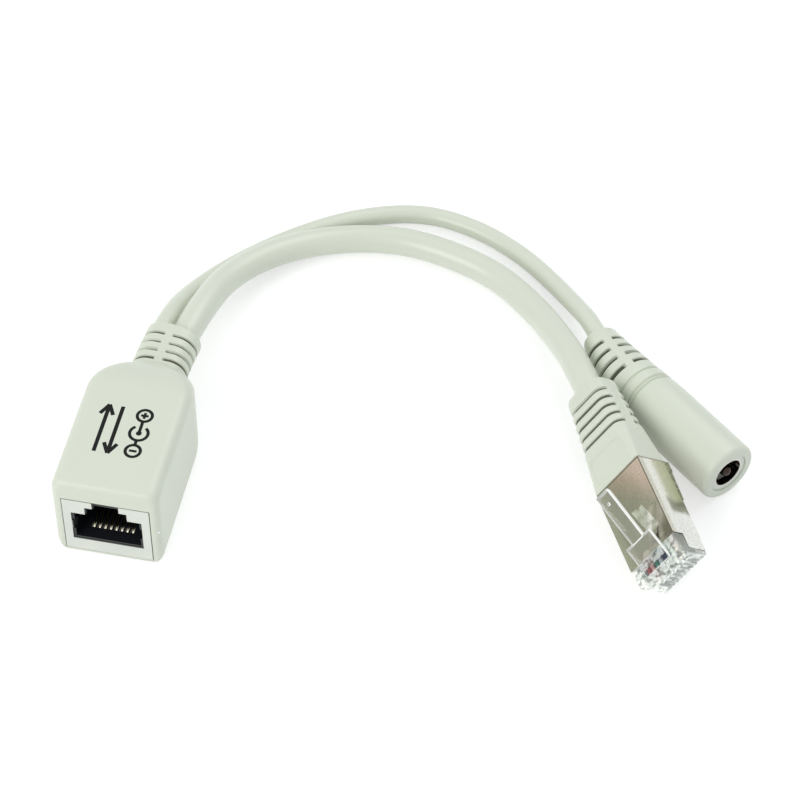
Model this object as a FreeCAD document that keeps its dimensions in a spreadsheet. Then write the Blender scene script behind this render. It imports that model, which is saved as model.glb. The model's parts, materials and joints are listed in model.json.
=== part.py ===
"""Passive power over Ethernet injector: a jack in a soft moulded housing, a data cable that ends in a
shielded modular plug, and a power lead that ends in a round DC socket. Millimetres, +Z up.

The origin is the centre of the flat underside of the jack housing. The jack opens towards -Y and the
two leads leave the housing's ribbed boot towards +Y."""
import FreeCAD, Part
import math
import os
import re

from FreeCAD import Placement, Rotation, Vector

X_AXIS, Y_AXIS, Z_AXIS = Vector(1, 0, 0), Vector(0, 1, 0), Vector(0, 0, 1)

# Driving dimensions: each one is set here and nowhere else
SIZES = {
    # jack housing, a soft moulding round the jack
    "housing_width": 19.6,
    "housing_height": 18.5,
    "housing_straight": 24.0,
    "shoulder_length": 10.2,
    "shoulder_side_step": 0.09,
    "shoulder_top_step": 1.36,
    "long_edge_radius": 2.2,
    "shoulder_end_radius": 4.8,
    "front_edge_radius": 1.4,
    # ribbed boot at the back of the housing
    "neck_width": 10.6,
    "neck_height": 7.4,
    "neck_length": 11.6,
    "neck_bend": 8.0,
    "neck_end_radius": 0.9,
    "neck_slots": 4,
    "neck_slot_first": 2.4,
    "neck_slot_pitch": 2.05,
    # slots of all three boots
    "slot_width": 0.55,
    "slot_depth": 0.8,
    "slot_bridge": 1.7,
    # jack shield, folded from sheet
    "shield_width": 15.9,
    "shield_height": 13.4,
    "shield_depth": 16.0,
    "shield_sheet": 0.3,
    "shield_base": 0.8,
    "cutout_width": 12.9,
    "cutout_base": 3.7,
    "cutout_height": 7.1,
    "keyway_width": 7.7,
    "keyway_height": 1.85,
    "latchway_width": 4.9,
    "tab_base": 6.4,
    "tab_height": 2.0,
    "tab_reach": 0.7,
    "tab_length": 3.6,
    # jack insert and its eight spring contacts
    "port_width": 11.9,
    "port_floor": 4.1,
    "port_depth": 12.5,
    "roof_thickness": 0.45,
    "contact_pitch": 1.02,
    "contact_wire": 0.4,
    "contact_level": 2.6,
    "contact_bend": 0.45,
    "contact_bend_place": 3.6,
    "contact_rise": 22.0,
    "contact_reach": 7.0,
    "comb_slot_width": 0.62,
    "comb_slot_front": 2.7,
    "comb_slot_length": 8.0,
    # circuit board and the filler moulded behind it
    "board_width": 14.6,
    "board_height": 12.2,
    "board_thickness": 1.0,
    "filler_width": 13.0,
    "filler_height": 10.4,
    "core_wire": 0.9,
    "board_core_pitch": 2.2,
    # the two leads
    "data_cable_diameter": 5.4,
    "power_cable_diameter": 3.6,
    "data_cable_offset": 1.75,
    "power_cable_offset": 2.85,
    "lead_cut_depth": 4.2,
    "lead_straight": 11.0,
    "data_core_spread": 1.3,
    "power_core_spread": 0.8,
    # modular plug
    "plug_width": 11.7,
    "plug_thickness": 6.6,
    "plug_length": 21.2,
    "plug_shield_length": 17.3,
    "plug_shield_sheet": 0.25,
    "plug_shield_proud": 0.1,
    "plug_window_setback": 9.0,
    "plug_tongue_height": 4.2,
    "plug_tongue_setback": 0.8,
    "plug_flange_depth": 1.1,
    "plug_flange_end_depth": 0.55,
    "plug_flange_length": 8.7,
    "plug_contact_thickness": 0.35,
    "plug_contact_length": 3.8,
    "plug_contact_setback": 0.7,
    "plug_contact_base": 0.25,
    "plug_slot_width": 0.55,
    "plug_slot_length": 6.0,
    "plug_wire": 0.88,
    "plug_wire_level": -0.2,
    "plug_wire_setback": 3.0,
    "plug_wire_spread": 1.95,
    "plug_wire_straight": 2.5,
    "plug_fan_length": 3.5,
    "plug_chamber_width": 9.9,
    "plug_chamber_height": 4.6,
    "plug_chamber_depth": 8.0,
    "load_bar_length": 3.5,
    "load_bar_margin": 0.1,
    "latch_width": 6.4,
    "latch_tab_width": 3.2,
    "latch_thickness": 0.85,
    "latch_height": 6.35,
    "latch_sunk": 0.4,
    "latch_tip_place": 5.4,
    "latch_shoulder_place": 14.9,
    "latch_root_place": 20.2,
    "latch_root_overlap": 0.6,
    # plug boot
    "plug_boot_length": 21.0,
    "plug_boot_width": 12.0,
    "plug_boot_thickness": 7.6,
    "plug_boot_end_width": 9.2,
    "plug_boot_end_thickness": 6.8,
    "plug_boot_taper_power": 1.6,
    "plug_boot_edge": 0.6,
    "plug_boot_rib_edge": 2.3,
    "plug_boot_end_edge": 2.5,
    "plug_boot_lip": 0.8,
    "plug_boot_slots": 5,
    "plug_boot_slot_first": 3.4,
    "plug_boot_slot_pitch": 2.06,
    # round DC socket and its boot
    "socket_diameter": 11.7,
    "socket_length": 24.7,
    "socket_edge_radius": 0.9,
    "socket_root_diameter": 11.1,
    "socket_taper": 6.5,
    "socket_groove": 0.2,
    "socket_ring_length": 2.15,
    "socket_boot_length": 15.0,
    "socket_boot_bend": 19.0,
    "socket_boot_diameter": 10.9,
    "socket_boot_end_diameter": 6.5,
    "socket_boot_lip": 0.7,
    "socket_boot_slots": 4,
    "socket_boot_slot_first": 3.9,
    "socket_boot_slot_pitch": 2.58,
    "socket_boot_slot_width": 0.75,
    "socket_insert_diameter": 7.9,
    "socket_insert_length": 12.0,
    "socket_recess": 0.3,
    "bore_diameter": 5.7,
    "bore_depth": 9.5,
    "sleeve_sheet": 0.3,
    "pin_diameter": 2.1,
    "pin_setback": 0.8,
    "socket_spring_width": 1.4,
    "socket_spring_sheet": 0.3,
    "socket_spring_gap": 0.1,
    "socket_spring_hump": 0.36,
    "socket_spring_setback": 2.85,
    "socket_spring_peak": 5.2,
    "socket_spring_foot": 8.1,
    "socket_core_spread": 0.75,
    "socket_core_straight": 3.0,
    "socket_core_bend_place": 10.5,
}

doc = FreeCAD.newDocument("injector")
sheet = doc.addObject("Spreadsheet::Sheet", "Sizes")
for row, (alias, value) in enumerate(SIZES.items(), start=1):
    sheet.set(f"A{row}", alias)
    sheet.set(f"B{row}", str(value))
    sheet.setAlias(f"B{row}", alias)
doc.recompute()


def size(alias):
    """The value of one cell of the sheet."""
    return float(getattr(sheet, alias))


# Places that follow from the sizes
FRONT = -size("housing_straight") / 2
MID_HEIGHT = size("housing_height") / 2
NECK_START = FRONT + size("housing_straight") + size("shoulder_length")
BOARD_FRONT = FRONT + size("shield_depth")
FILLER_START = BOARD_FRONT + size("board_thickness")
JACK_LEVEL = size("shield_base") + size("shield_height") / 2
LEAD_START = NECK_START - size("lead_cut_depth")
LEAD_STRAIGHT_END = LEAD_START + size("lead_straight")
DATA_OFFSET = size("data_cable_offset")
POWER_OFFSET = -size("power_cable_offset")

# Where the plug lies: its point at the shield's rear edge, its heading, its nose-down tilt and its roll
PLUG_PLACE = (89.0, 18.05)
PLUG_HEADING = 209.8
PLUG_TILT = 3.0
PLUG_ROLL = 53.5

# Where the DC socket lies: the small end of its boot and the heading of the lead there
SOCKET_PLACE = (77.95, 52.2)
SOCKET_HEADING = -60.0

# The share of a run that the arc at its end takes up, on the rounded paths of leads and wires
ARC_SHARE = 0.45

# Routes of the two leads, from inside the housing to inside the plug's and the socket's boots
DATA_ROUTE = [
    (DATA_OFFSET, LEAD_START, MID_HEIGHT), (DATA_OFFSET, LEAD_STRAIGHT_END, MID_HEIGHT),
    (3.6, 42.0, 9.1), (6.2, 54.0, 6.4), (13.5, 64.3, 4.1),
    (24.0, 70.8, 2.7), (36.0, 72.8, 2.7), (47.0, 70.6, 2.7), (56.5, 66.6, 2.7), (64.5, 59.8, 2.7),
    (70.3, 51.2, 5.6), (75.6, 41.448, 9.179), (81.059, 31.915, 8.603),
]
POWER_ROUTE = [
    (POWER_OFFSET, LEAD_START, MID_HEIGHT), (POWER_OFFSET, LEAD_STRAIGHT_END, MID_HEIGHT),
    (-1.8, 39.5, 9.0), (-0.9, 49.5, 3.9), (4.3, 59.8, 1.8),
    (13.5, 69.3, 1.8), (25.0, 77.6, 1.8), (38.0, 81.8, 1.8), (49.5, 79.6, 1.8), (59.5, 74.2, 1.8),
    (66.8, 68.0, 1.8), (72.1, 61.6, 3.3), (75.85, 55.837, 5.85), (79.25, 49.948, 5.85),
]


def bound(text):
    """An expression in which each alias is read from the sheet."""
    return re.sub(r"[a-z][a-z_]*", lambda word: "Sizes." + word.group(), text)


def bind(piece, **expressions):
    """Ties properties of an object to the sheet; a place is given as at_x, at_y and at_z."""
    for key, text in expressions.items():
        path = "Placement.Base." + key[3:] if key.startswith("at_") else key
        piece.setExpression(path, bound(text))
    return piece


def block(name, at, length, width, height):
    """A box: its lowest corner and its size along X, Y and Z are expressions."""
    piece = doc.addObject("Part::Box", name)
    return bind(piece, Length=length, Width=width, Height=height, at_x=at[0], at_y=at[1], at_z=at[2])


def rod(name, radius, length, start="0", x="0", z="0"):
    """A cylinder along +Y from y = start."""
    piece = doc.addObject("Part::Cylinder", name)
    piece.Placement.Rotation = Rotation(X_AXIS, -90)
    return bind(piece, Radius=radius, Height=length, at_x=x, at_y=start, at_z=z)


def joined(name, pieces):
    """Several objects as one."""
    piece = doc.addObject("Part::MultiFuse", name)
    piece.Shapes = pieces
    return piece


def cut(name, base, *tools):
    """The base with the tools taken out of it."""
    piece = doc.addObject("Part::Cut", name)
    piece.Base = base
    piece.Tool = tools[0] if len(tools) == 1 else joined(name + "_tools", list(tools))
    return piece


def shaped(name, shape):
    """An object that holds a shape worked out below."""
    piece = doc.addObject("Part::Feature", name)
    piece.Shape = shape
    return piece


def shape_of(piece):
    """The recomputed shape of an object."""
    doc.recompute()
    return piece.Shape


def face_of(edges):
    """A face from edges in order."""
    return Part.Face(Part.Wire(edges))


def rounded_path(points):
    """Straight runs joined by tangent arcs. An arc's radius is ARC_SHARE of the shorter run beside its
    corner, divided by the tangent of half the turn. Returns the wire and the radii."""
    corners = [Vector(*point) for point in points]
    edges, radii, start = [], [], corners[0]
    for before, corner, after in zip(corners, corners[1:], corners[2:]):
        back = (before - corner).normalize()
        on = (after - corner).normalize()
        half_turn = (math.pi - back.getAngle(on)) / 2
        reach = ARC_SHARE * min((before - corner).Length, (after - corner).Length)
        radius = reach / math.tan(half_turn)
        radii.append(radius)
        to_centre = (back + on).normalize()
        middle = corner + to_centre * (radius / math.cos(half_turn) - radius)
        edges.append(Part.LineSegment(start, corner + back * reach).toShape())
        edges.append(Part.Arc(corner + back * reach, middle, corner + on * reach).toShape())
        start = corner + on * reach
    edges.append(Part.LineSegment(start, corners[-1]).toShape())
    return Part.Wire(edges), radii


def tube(points, radius):
    """A round solid along a rounded path, with the path's length and radii."""
    path, radii = rounded_path(points)
    direction = Vector(*points[1]) - Vector(*points[0])
    ring = Part.Wire([Part.makeCircle(radius, Vector(*points[0]), direction)])
    return path.makePipeShell([ring], True, False), path.Length, radii


def trimmed_rod(start, end, radius):
    """A straight slanting rod between two planes of constant Y, its ends flat on those planes."""
    start, end = Vector(*start), Vector(*end)
    along = (end - start).normalize()
    spare = 2 * radius
    whole = Part.makeCylinder(radius, (end - start).Length + 2 * spare, start - along * spare, along)
    reach = 60.0
    slab = Part.makeBox(reach, end.y - start.y, reach, Vector(-reach / 2, start.y, -reach / 2))
    return whole.common(slab)


def oval(width, height, y):
    """A flat face across Y: two half rounds joined by straight edges, centred on the Y axis."""
    radius = height / 2
    side = width / 2 - radius
    upper = Part.LineSegment(Vector(-side, y, radius), Vector(side, y, radius)).toShape()
    right = Part.Arc(Vector(side, y, radius), Vector(width / 2, y, 0), Vector(side, y, -radius)).toShape()
    lower = Part.LineSegment(Vector(side, y, -radius), Vector(-side, y, -radius)).toShape()
    left = Part.Arc(Vector(-side, y, -radius), Vector(-width / 2, y, 0), Vector(-side, y, radius)).toShape()
    return face_of([upper, right, lower, left])


def rounded_section(width, height, radius, y):
    """A wire across Y: a rectangle with round corners, centred on the Y axis."""
    half_x, half_z = width / 2, height / 2
    inner_x, inner_z, lean = half_x - radius, half_z - radius, radius * math.sqrt(0.5)
    edges = []
    for sign_x, sign_z in ((1, 1), (1, -1), (-1, -1), (-1, 1)):
        side = Vector(sign_x * half_x, y, sign_z * inner_z)
        cap = Vector(sign_x * inner_x, y, sign_z * half_z)
        middle = Vector(sign_x * (inner_x + lean), y, sign_z * (inner_z + lean))
        first, last = (cap, side) if sign_x * sign_z > 0 else (side, cap)
        if edges:
            edges.append(Part.LineSegment(edges[-1].Vertexes[-1].Point, first).toShape())
        edges.append(Part.Arc(first, middle, last).toShape())
    edges.append(Part.LineSegment(edges[-1].Vertexes[-1].Point, edges[0].Vertexes[0].Point).toShape())
    return Part.Wire(edges)


def bend_place(radius, distance, side=1):
    """Where a point carried along a level arc arrives: the arc starts at the origin along +Y and
    turns towards +X for side = 1 and towards -X for side = -1."""
    angle = distance / radius
    place = Vector(side * radius * (1 - math.cos(angle)), radius * math.sin(angle), 0)
    return Placement(place, Rotation(Z_AXIS, -side * math.degrees(angle)))


def moved(shape, placement):
    """A copy of a shape in another place."""
    copy = shape.copy()
    copy.Placement = placement.multiply(copy.Placement)
    return copy


def shoulder_in(run, drop):
    """How far a shoulder has come in after a run: it follows a circle that ends at the drop."""
    radius = (drop**2 + size("shoulder_length") ** 2) / (2 * drop)
    return radius - math.sqrt(radius**2 - run**2)


def across_box(width, thickness, height):
    """A box centred on the Y axis and on y = 0."""
    return Part.makeBox(width, thickness, height, Vector(-width / 2, -thickness / 2, -height / 2))


def jack_housing(cavities):
    """The housing: a block with round edges, a shoulder that narrows towards the back, and the bent,
    slotted neck."""
    width, height = size("housing_width"), size("housing_height")
    edge = size("long_edge_radius")
    straight = Part.Face(rounded_section(width, height, edge, FRONT))
    straight = straight.extrude(Y_AXIS * size("housing_straight"))
    front = [line for line in straight.Edges if line.BoundBox.YMax < FRONT + 1e-6]
    straight = straight.makeFillet(size("front_edge_radius"), front)
    back = FRONT + size("housing_straight")
    side_drop = (width - size("neck_width")) / 2 - size("shoulder_side_step")
    top_drop = (height - size("neck_height")) / 2 - size("shoulder_top_step")
    sections = []
    for share in (0.0, 0.12, 0.28, 0.46, 0.64, 0.82, 1.0):
        run = share * size("shoulder_length")
        side_in, top_in = shoulder_in(run, side_drop), shoulder_in(run, top_drop)
        radius = edge + (size("shoulder_end_radius") - edge) * share**1.5
        sections.append(rounded_section(width - 2 * side_in, height - 2 * top_in, radius, back + run))
    shoulder = Part.makeLoft(sections, True, False)
    body = moved(straight.fuse(shoulder), Placement(Vector(0, 0, MID_HEIGHT), Rotation()))
    body = body.fuse(neck())
    for cavity in cavities:
        body = body.cut(cavity)
    return body


def neck():
    """The oval boot of the housing, bent towards +X, with slots on both sides of its bridges."""
    width, height = size("neck_width"), size("neck_height")
    radius = size("neck_length") / math.radians(size("neck_bend"))
    overlap = size("slot_depth")
    start = Placement(Vector(0, NECK_START, MID_HEIGHT), Rotation())
    solid = oval(width, height, 0).revolve(Vector(radius, 0, 0), -Z_AXIS, size("neck_bend"))
    end_face = max(solid.Faces, key=lambda face: face.CenterOfMass.y)
    solid = solid.makeFillet(size("neck_end_radius"), end_face.Edges)
    root = oval(width, height, -overlap).extrude(Y_AXIS * overlap)
    solid = solid.fuse(root)
    thickness = size("slot_width")
    depth = size("slot_depth")
    inner = oval(width - 2 * depth, height - 2 * depth, -thickness / 2).extrude(Y_AXIS * thickness)
    ring = across_box(2 * width, thickness, 2 * height).cut(inner)
    ring = ring.cut(across_box(size("slot_bridge"), thickness, 2 * height))
    for number in range(int(size("neck_slots"))):
        distance = size("neck_slot_first") + number * size("neck_slot_pitch")
        solid = solid.cut(moved(ring, bend_place(radius, distance)))
    return moved(solid, start)


def jack_shield():
    """The folded shield: an open-backed box with the stepped opening and a spring tab each side."""
    front = str(FRONT)
    outer = block("shield_outside", ("-shield_width/2", front, "shield_base"),
                  "shield_width", "shield_depth", "shield_height")
    hollow = block("shield_inside", ("-shield_width/2+shield_sheet", front + "+shield_sheet",
                                     "shield_base+shield_sheet"),
                   "shield_width-2*shield_sheet", "shield_depth", "shield_height-2*shield_sheet")
    main = block("cutout_main", ("-cutout_width/2", front, "cutout_base"),
                 "cutout_width", "shield_sheet", "cutout_height")
    keyway = block("cutout_keyway", ("-keyway_width/2", front, "cutout_base+cutout_height"),
                   "keyway_width", "shield_sheet", "keyway_height")
    latchway = block("cutout_latchway", ("-latchway_width/2", front, "cutout_base+cutout_height"),
                     "latchway_width", "shield_sheet",
                     "shield_base+shield_height-cutout_base-cutout_height")
    folded = cut("shield_box", outer, hollow, main, keyway, latchway)
    tabs = [shaped("shield_tab_" + side, spring_tab(sign)) for side, sign in (("left", -1), ("right", 1))]
    return joined("jack_shield", [folded] + tabs)


def spring_tab(sign):
    """A bent tab that springs into the opening, seen from above as a folded strip."""
    edge, sheet_metal = size("cutout_width") / 2, size("shield_sheet")
    reach, length = size("tab_reach"), size("tab_length")
    outline = [
        (edge + sheet_metal, 0), (edge, 0), (edge - reach, length / 3), (edge - reach / 2, length),
        (edge - reach / 2 + sheet_metal, length), (edge - reach + sheet_metal, length / 3),
        (edge, sheet_metal), (edge + sheet_metal, sheet_metal),
    ]
    points = [Vector(sign * x, FRONT + y, size("tab_base")) for x, y in outline]
    return Part.Face(Part.makePolygon(points + points[:1])).extrude(Z_AXIS * size("tab_height"))


def contact_places(pitch):
    """The eight places across the jack or plug, centred on the axis."""
    return [(number - 3.5) * pitch for number in range(8)]


def jack_contact(x):
    """A spring contact: a wire that runs forward under the port's floor, turns back and rises."""
    level, bend, wire = size("contact_level"), size("contact_bend"), size("contact_wire")
    rise = math.radians(size("contact_rise"))
    turn_y = FRONT + size("contact_bend_place")
    centre = Vector(x, turn_y, level + bend)

    def on_bend(angle):
        """A point of the bend; the angle is measured from straight down, turning to the front."""
        return centre + Vector(0, -bend * math.sin(angle), -bend * math.cos(angle))

    turn = math.pi - rise
    leave = on_bend(turn)
    length = size("contact_reach")
    tip = leave + Vector(0, length * math.cos(rise), length * math.sin(rise))
    start = Vector(x, BOARD_FRONT, level)
    path = Part.Wire([
        Part.LineSegment(start, on_bend(0)).toShape(),
        Part.Arc(on_bend(0), on_bend(turn / 2), leave).toShape(),
        Part.LineSegment(leave, tip).toShape(),
    ])
    ring = Part.Wire([Part.makeCircle(wire / 2, start, Y_AXIS)])
    return path.makePipeShell([ring], True, False)


def jack_insert(shield, contacts):
    """The black body of the jack: it fills the shield and has the stepped port and a comb of slots."""
    front = str(FRONT)
    inside = block("insert_block", ("-shield_width/2+shield_sheet", front + "+shield_sheet",
                                    "shield_base+shield_sheet"),
                   "shield_width-2*shield_sheet", "shield_depth-shield_sheet",
                   "shield_height-2*shield_sheet")
    top = "cutout_base+cutout_height"
    main = block("port_main", ("-port_width/2", front, "port_floor"),
                 "port_width", "port_depth", top + "-port_floor")
    keyway = block("port_keyway", ("-keyway_width/2+roof_thickness/2", front, top),
                   "keyway_width-roof_thickness", "port_depth", "keyway_height-roof_thickness/2")
    latchway = block("port_latchway", ("-latchway_width/2+roof_thickness/2", front, top),
                     "latchway_width-roof_thickness", "port_depth",
                     "shield_base+shield_height-shield_sheet-roof_thickness-(" + top + ")")
    reliefs = []
    for side, sign in (("left", -1), ("right", 1)):
        low = "-cutout_width/2-shield_sheet" if sign < 0 else "cutout_width/2-tab_reach-shield_sheet"
        reliefs.append(block("tab_relief_" + side, (low, front, "tab_base-shield_sheet"),
                             "tab_reach+2*shield_sheet", "tab_length+shield_sheet",
                             "tab_height+2*shield_sheet"))
    slots = []
    for number in range(1, 9):
        slots.append(block(f"comb_slot_{number}",
                           (f"({number}-4.5)*contact_pitch-comb_slot_width/2", front + "+comb_slot_front",
                            "contact_level-contact_wire"),
                           "comb_slot_width", "comb_slot_length", "port_floor-contact_level+contact_wire"))
    return cut("jack_insert", inside, main, keyway, latchway, *reliefs, *slots, *contacts)


def jack_board():
    """The circuit board that stands across the back of the jack."""
    return block("jack_board", ("-board_width/2", str(BOARD_FRONT), f"{JACK_LEVEL}-board_height/2"),
                 "board_width", "board_thickness", "board_height")


def lead_ends(cable_route, count, spread):
    """Places of a cable's cores on its cut end, evenly round its axis."""
    x, y, z = cable_route
    turns = [2 * math.pi * (number + 0.25) / count for number in range(count)]
    return [(x + spread * math.cos(turn), y, z + spread * math.sin(turn)) for turn in turns]


def housing_cores():
    """The cores between the board and the two leads' cut ends inside the housing."""
    wire = size("core_wire") / 2
    data_ends = sorted(lead_ends(DATA_ROUTE[0], 4, size("data_core_spread")))
    power_ends = sorted(lead_ends(POWER_ROUTE[0], 2, size("power_core_spread")))
    names = ["power_core_positive", "power_core_negative"]
    names += [f"data_core_{number}" for number in range(1, 5)]
    cores = {}
    for place, (name, end) in enumerate(zip(names, power_ends + data_ends)):
        start_x = (place - 2.5) * size("board_core_pitch")
        cores[name] = trimmed_rod((start_x, FILLER_START, JACK_LEVEL), end, wire)
    return cores


def filler_block():
    """The block of filler behind the board, before its cores are taken out."""
    return block("filler_block", ("-filler_width/2", str(FILLER_START), f"{MID_HEIGHT}-filler_height/2"),
                 "filler_width", str(LEAD_START - FILLER_START), "filler_height")


def plug_frame():
    """The plug's place: +Y runs out of its nose and +Z out of its latch face. It lies on the lowest
    corner of its nose, with its boot end a little higher."""
    tilt, roll = math.radians(PLUG_TILT), math.radians(PLUG_ROLL)
    corner_drop = size("plug_width") / 2 * math.sin(roll) + size("plug_thickness") / 2 * math.cos(roll)
    height = size("plug_length") * math.sin(tilt) + corner_drop * math.cos(tilt)
    turn = Rotation(Z_AXIS, PLUG_HEADING) * Rotation(X_AXIS, -PLUG_TILT) * Rotation(Y_AXIS, PLUG_ROLL)
    return Placement(Vector(PLUG_PLACE[0], PLUG_PLACE[1], height), turn)


def plug_wire_paths(cable_end):
    """Each conductor's path: from the cable's cut end, where they lie in a ring, to a flat row."""
    level, pitch = size("plug_wire_level"), size("contact_pitch")
    row_start, row_end = -size("plug_fan_length"), size("plug_length") - size("plug_wire_setback")
    straight = size("plug_wire_straight")
    ring = sorted(lead_ends((0, cable_end, 0), 8, size("plug_wire_spread")))
    paths = []
    for (x, y, z), row_x in zip(ring, contact_places(pitch)):
        paths.append([(x, y, z), (x, y + straight, z), (row_x, row_start, level), (row_x, row_end, level)])
    return paths


def plug_shield():
    """The plug's folded shield: four walls, open over the contacts, with a tongue along each narrow
    side towards the nose and a tapering flange under one side, where the sheet's ends meet."""
    outer = block("plug_shield_outside",
                  ("-plug_width/2-plug_shield_proud", "0", "-plug_thickness/2-plug_shield_proud"),
                  "plug_width+2*plug_shield_proud", "plug_shield_length",
                  "plug_thickness+2*plug_shield_proud")
    inner_x = "plug_width/2+plug_shield_proud-plug_shield_sheet"
    inner_z = "plug_thickness/2+plug_shield_proud-plug_shield_sheet"
    hollow = block("plug_shield_inside", ("-(" + inner_x + ")", "0", "-(" + inner_z + ")"),
                   "2*(" + inner_x + ")", "plug_shield_length", "2*(" + inner_z + ")")
    window = block("plug_shield_window",
                   ("-plug_chamber_width/2", "plug_length-plug_window_setback", "-plug_thickness"),
                   "plug_chamber_width", "plug_slot_length", "plug_thickness")
    walls = cut("plug_shield_walls", outer, hollow, window)
    flange = shaped("plug_flange", shield_flange())
    return joined("plug_shield", [walls, flange] + shield_tongues("plug_tongue"))


def shield_tongues(name):
    """The tongues of the shield towards the nose, one on each narrow side, or the room for them."""
    tongues = []
    for side, low in (("left", "-plug_width/2-plug_shield_proud"),
                      ("right", "plug_width/2+plug_shield_proud-plug_shield_sheet")):
        place = (low, "plug_shield_length", "-plug_thickness/2+plug_shield_proud")
        tongues.append(block(f"{name}_{side}", place, "plug_shield_sheet",
                             "plug_length-plug_tongue_setback-plug_shield_length", "plug_tongue_height"))
    return tongues


def shield_flange():
    """The flange under one narrow side: deepest at the boot, shallower towards the nose, with a step
    up at a quarter of its length."""
    side = -size("plug_width") / 2 - size("plug_shield_proud")
    base = -size("plug_thickness") / 2
    deep, shallow = size("plug_flange_depth"), size("plug_flange_end_depth")
    length = size("plug_flange_length")
    middle = (deep + shallow) / 2
    outline = [
        (0, base), (0, base - deep), (length / 4, base - deep), (length / 4, base - middle),
        (length, base - shallow), (length, base),
    ]
    points = [Vector(side, y, z) for y, z in outline]
    return Part.Face(Part.makePolygon(points + points[:1])).extrude(X_AXIS * size("plug_shield_sheet"))


def plug_latch():
    """The latch: a plate that rises backwards from the nose, wide at its root and narrow at its tip."""
    base = size("plug_thickness") / 2
    root, shoulder, tip = size("latch_root_place"), size("latch_shoulder_place"), size("latch_tip_place")
    rise, thickness = size("latch_height"), size("latch_thickness")
    slope = rise / (root - tip)
    overlap = size("latch_root_overlap")

    def strip(start, end, width):
        """A length of the sloping plate between two places along the plug."""
        low = [(y, base - size("latch_sunk") + (root - y) * slope) for y in (start, end)]
        outline = low + [(y, z + thickness) for y, z in reversed(low)]
        points = [Vector(-width / 2, y, z) for y, z in outline]
        return Part.Face(Part.makePolygon(points + points[:1])).extrude(X_AXIS * width)

    wide = strip(shoulder, root + overlap, size("latch_width"))
    narrow = strip(tip, shoulder + overlap, size("latch_tab_width"))
    return wide.fuse(narrow)


def plug_body(wires):
    """The clear body with its latch, its wire chamber, the eight contact slots under its nose and the
    steps in its narrow sides where the shield's tongues lie."""
    inner = "-plug_shield_sheet+plug_shield_proud"
    core = block("plug_core", ("-(plug_width/2" + inner + ")", "0", "-(plug_thickness/2" + inner + ")"),
                 "2*(plug_width/2" + inner + ")", "plug_length", "2*(plug_thickness/2" + inner + ")")
    nose = block("plug_nose", ("-plug_width/2", "plug_shield_length", "-plug_thickness/2"),
                 "plug_width", "plug_length-plug_shield_length", "plug_thickness")
    solid = joined("plug_solid", [core, nose, shaped("plug_latch", plug_latch())])
    chamber = block("plug_chamber", ("-plug_chamber_width/2", "0", "plug_wire_level-plug_chamber_height/2"),
                    "plug_chamber_width", "plug_chamber_depth", "plug_chamber_height")
    slots = []
    for number in range(1, 9):
        slots.append(block(f"plug_slot_{number}",
                           (f"({number}-4.5)*contact_pitch-plug_slot_width/2",
                            "plug_length-plug_slot_length", "-plug_thickness/2"),
                           "plug_slot_width", "plug_slot_length", "plug_thickness/2+plug_wire_level"))
    return cut("plug_body", solid, chamber, *slots, *shield_tongues("plug_step"), *wires)


def plug_contact(number):
    """A flat gold contact that stands in its slot and cuts into the wire above it."""
    return block(f"plug_contact_{number}",
                 (f"({number}-4.5)*contact_pitch-plug_contact_thickness/2",
                  "plug_length-plug_contact_setback-plug_contact_length",
                  "-plug_thickness/2+plug_contact_base"),
                 "plug_contact_thickness", "plug_contact_length",
                 "plug_thickness/2-plug_contact_base+plug_wire_level")


def load_bar(wires):
    """The bar that holds the eight conductors in line inside the plug."""
    bar = block("load_bar_block",
                ("-plug_chamber_width/2+load_bar_margin", "plug_chamber_depth-load_bar_length",
                 "plug_wire_level-plug_chamber_height/2+load_bar_margin"),
                "plug_chamber_width-2*load_bar_margin", "load_bar_length",
                "plug_chamber_height-2*load_bar_margin")
    return cut("plug_load_bar", bar, *wires)


def plug_boot(cable, chamber_start):
    """The plug's boot: sharp-edged at the shield, rounder where its slots are, and hollow where the
    wires fan out. The slots leave a bridge at the middle of each narrow side."""
    length, lip = size("plug_boot_length"), size("plug_boot_lip")
    width, height = size("plug_boot_width"), size("plug_boot_thickness")
    end_width, end_height = size("plug_boot_end_width"), size("plug_boot_end_thickness")
    slots_length = (size("plug_boot_slots") - 1) * size("plug_boot_slot_pitch")
    front_slot = -length + size("plug_boot_slot_first") + slots_length
    rib_edge, end_edge = size("plug_boot_rib_edge"), size("plug_boot_end_edge")

    def section(y, edge, smaller=0.0):
        """A section of the tapering boot, or of a smaller one inside it."""
        share = -y / length
        narrowed = (width - end_width) * share ** size("plug_boot_taper_power")
        here_width = width - narrowed - 2 * smaller
        here_height = height + (end_height - height) * share - 2 * smaller
        return rounded_section(here_width, here_height, edge, y)

    sections = [section(0.0, size("plug_boot_edge")), section(front_slot, rib_edge),
                section(-length + lip, end_edge), section(-length, end_edge - lip, lip)]
    solid = Part.makeLoft(sections, True, True)
    thickness, depth = size("slot_width"), size("slot_depth")
    for number in range(int(size("plug_boot_slots"))):
        y = front_slot - number * size("plug_boot_slot_pitch")
        inner = Part.Face(section(y - thickness / 2, rib_edge - depth, depth)).extrude(Y_AXIS * thickness)
        place = Placement(Vector(0, y, 0), Rotation())
        ring = moved(across_box(2 * width, thickness, 2 * height), place).cut(inner)
        ring = ring.cut(moved(across_box(2 * width, thickness, size("slot_bridge")), place))
        solid = solid.cut(ring)
    small, fan = size("data_cable_diameter"), -size("plug_fan_length")
    wide, tall = size("plug_chamber_width"), size("plug_chamber_height")
    corner = size("plug_wire") / 2
    chamber = Part.makeLoft([
        rounded_section(small, small, corner, chamber_start), rounded_section(wide, tall, corner, fan),
        rounded_section(wide, tall, corner, 0.0),
    ], True, True)
    return solid.cut(chamber).cut(cable)


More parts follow.
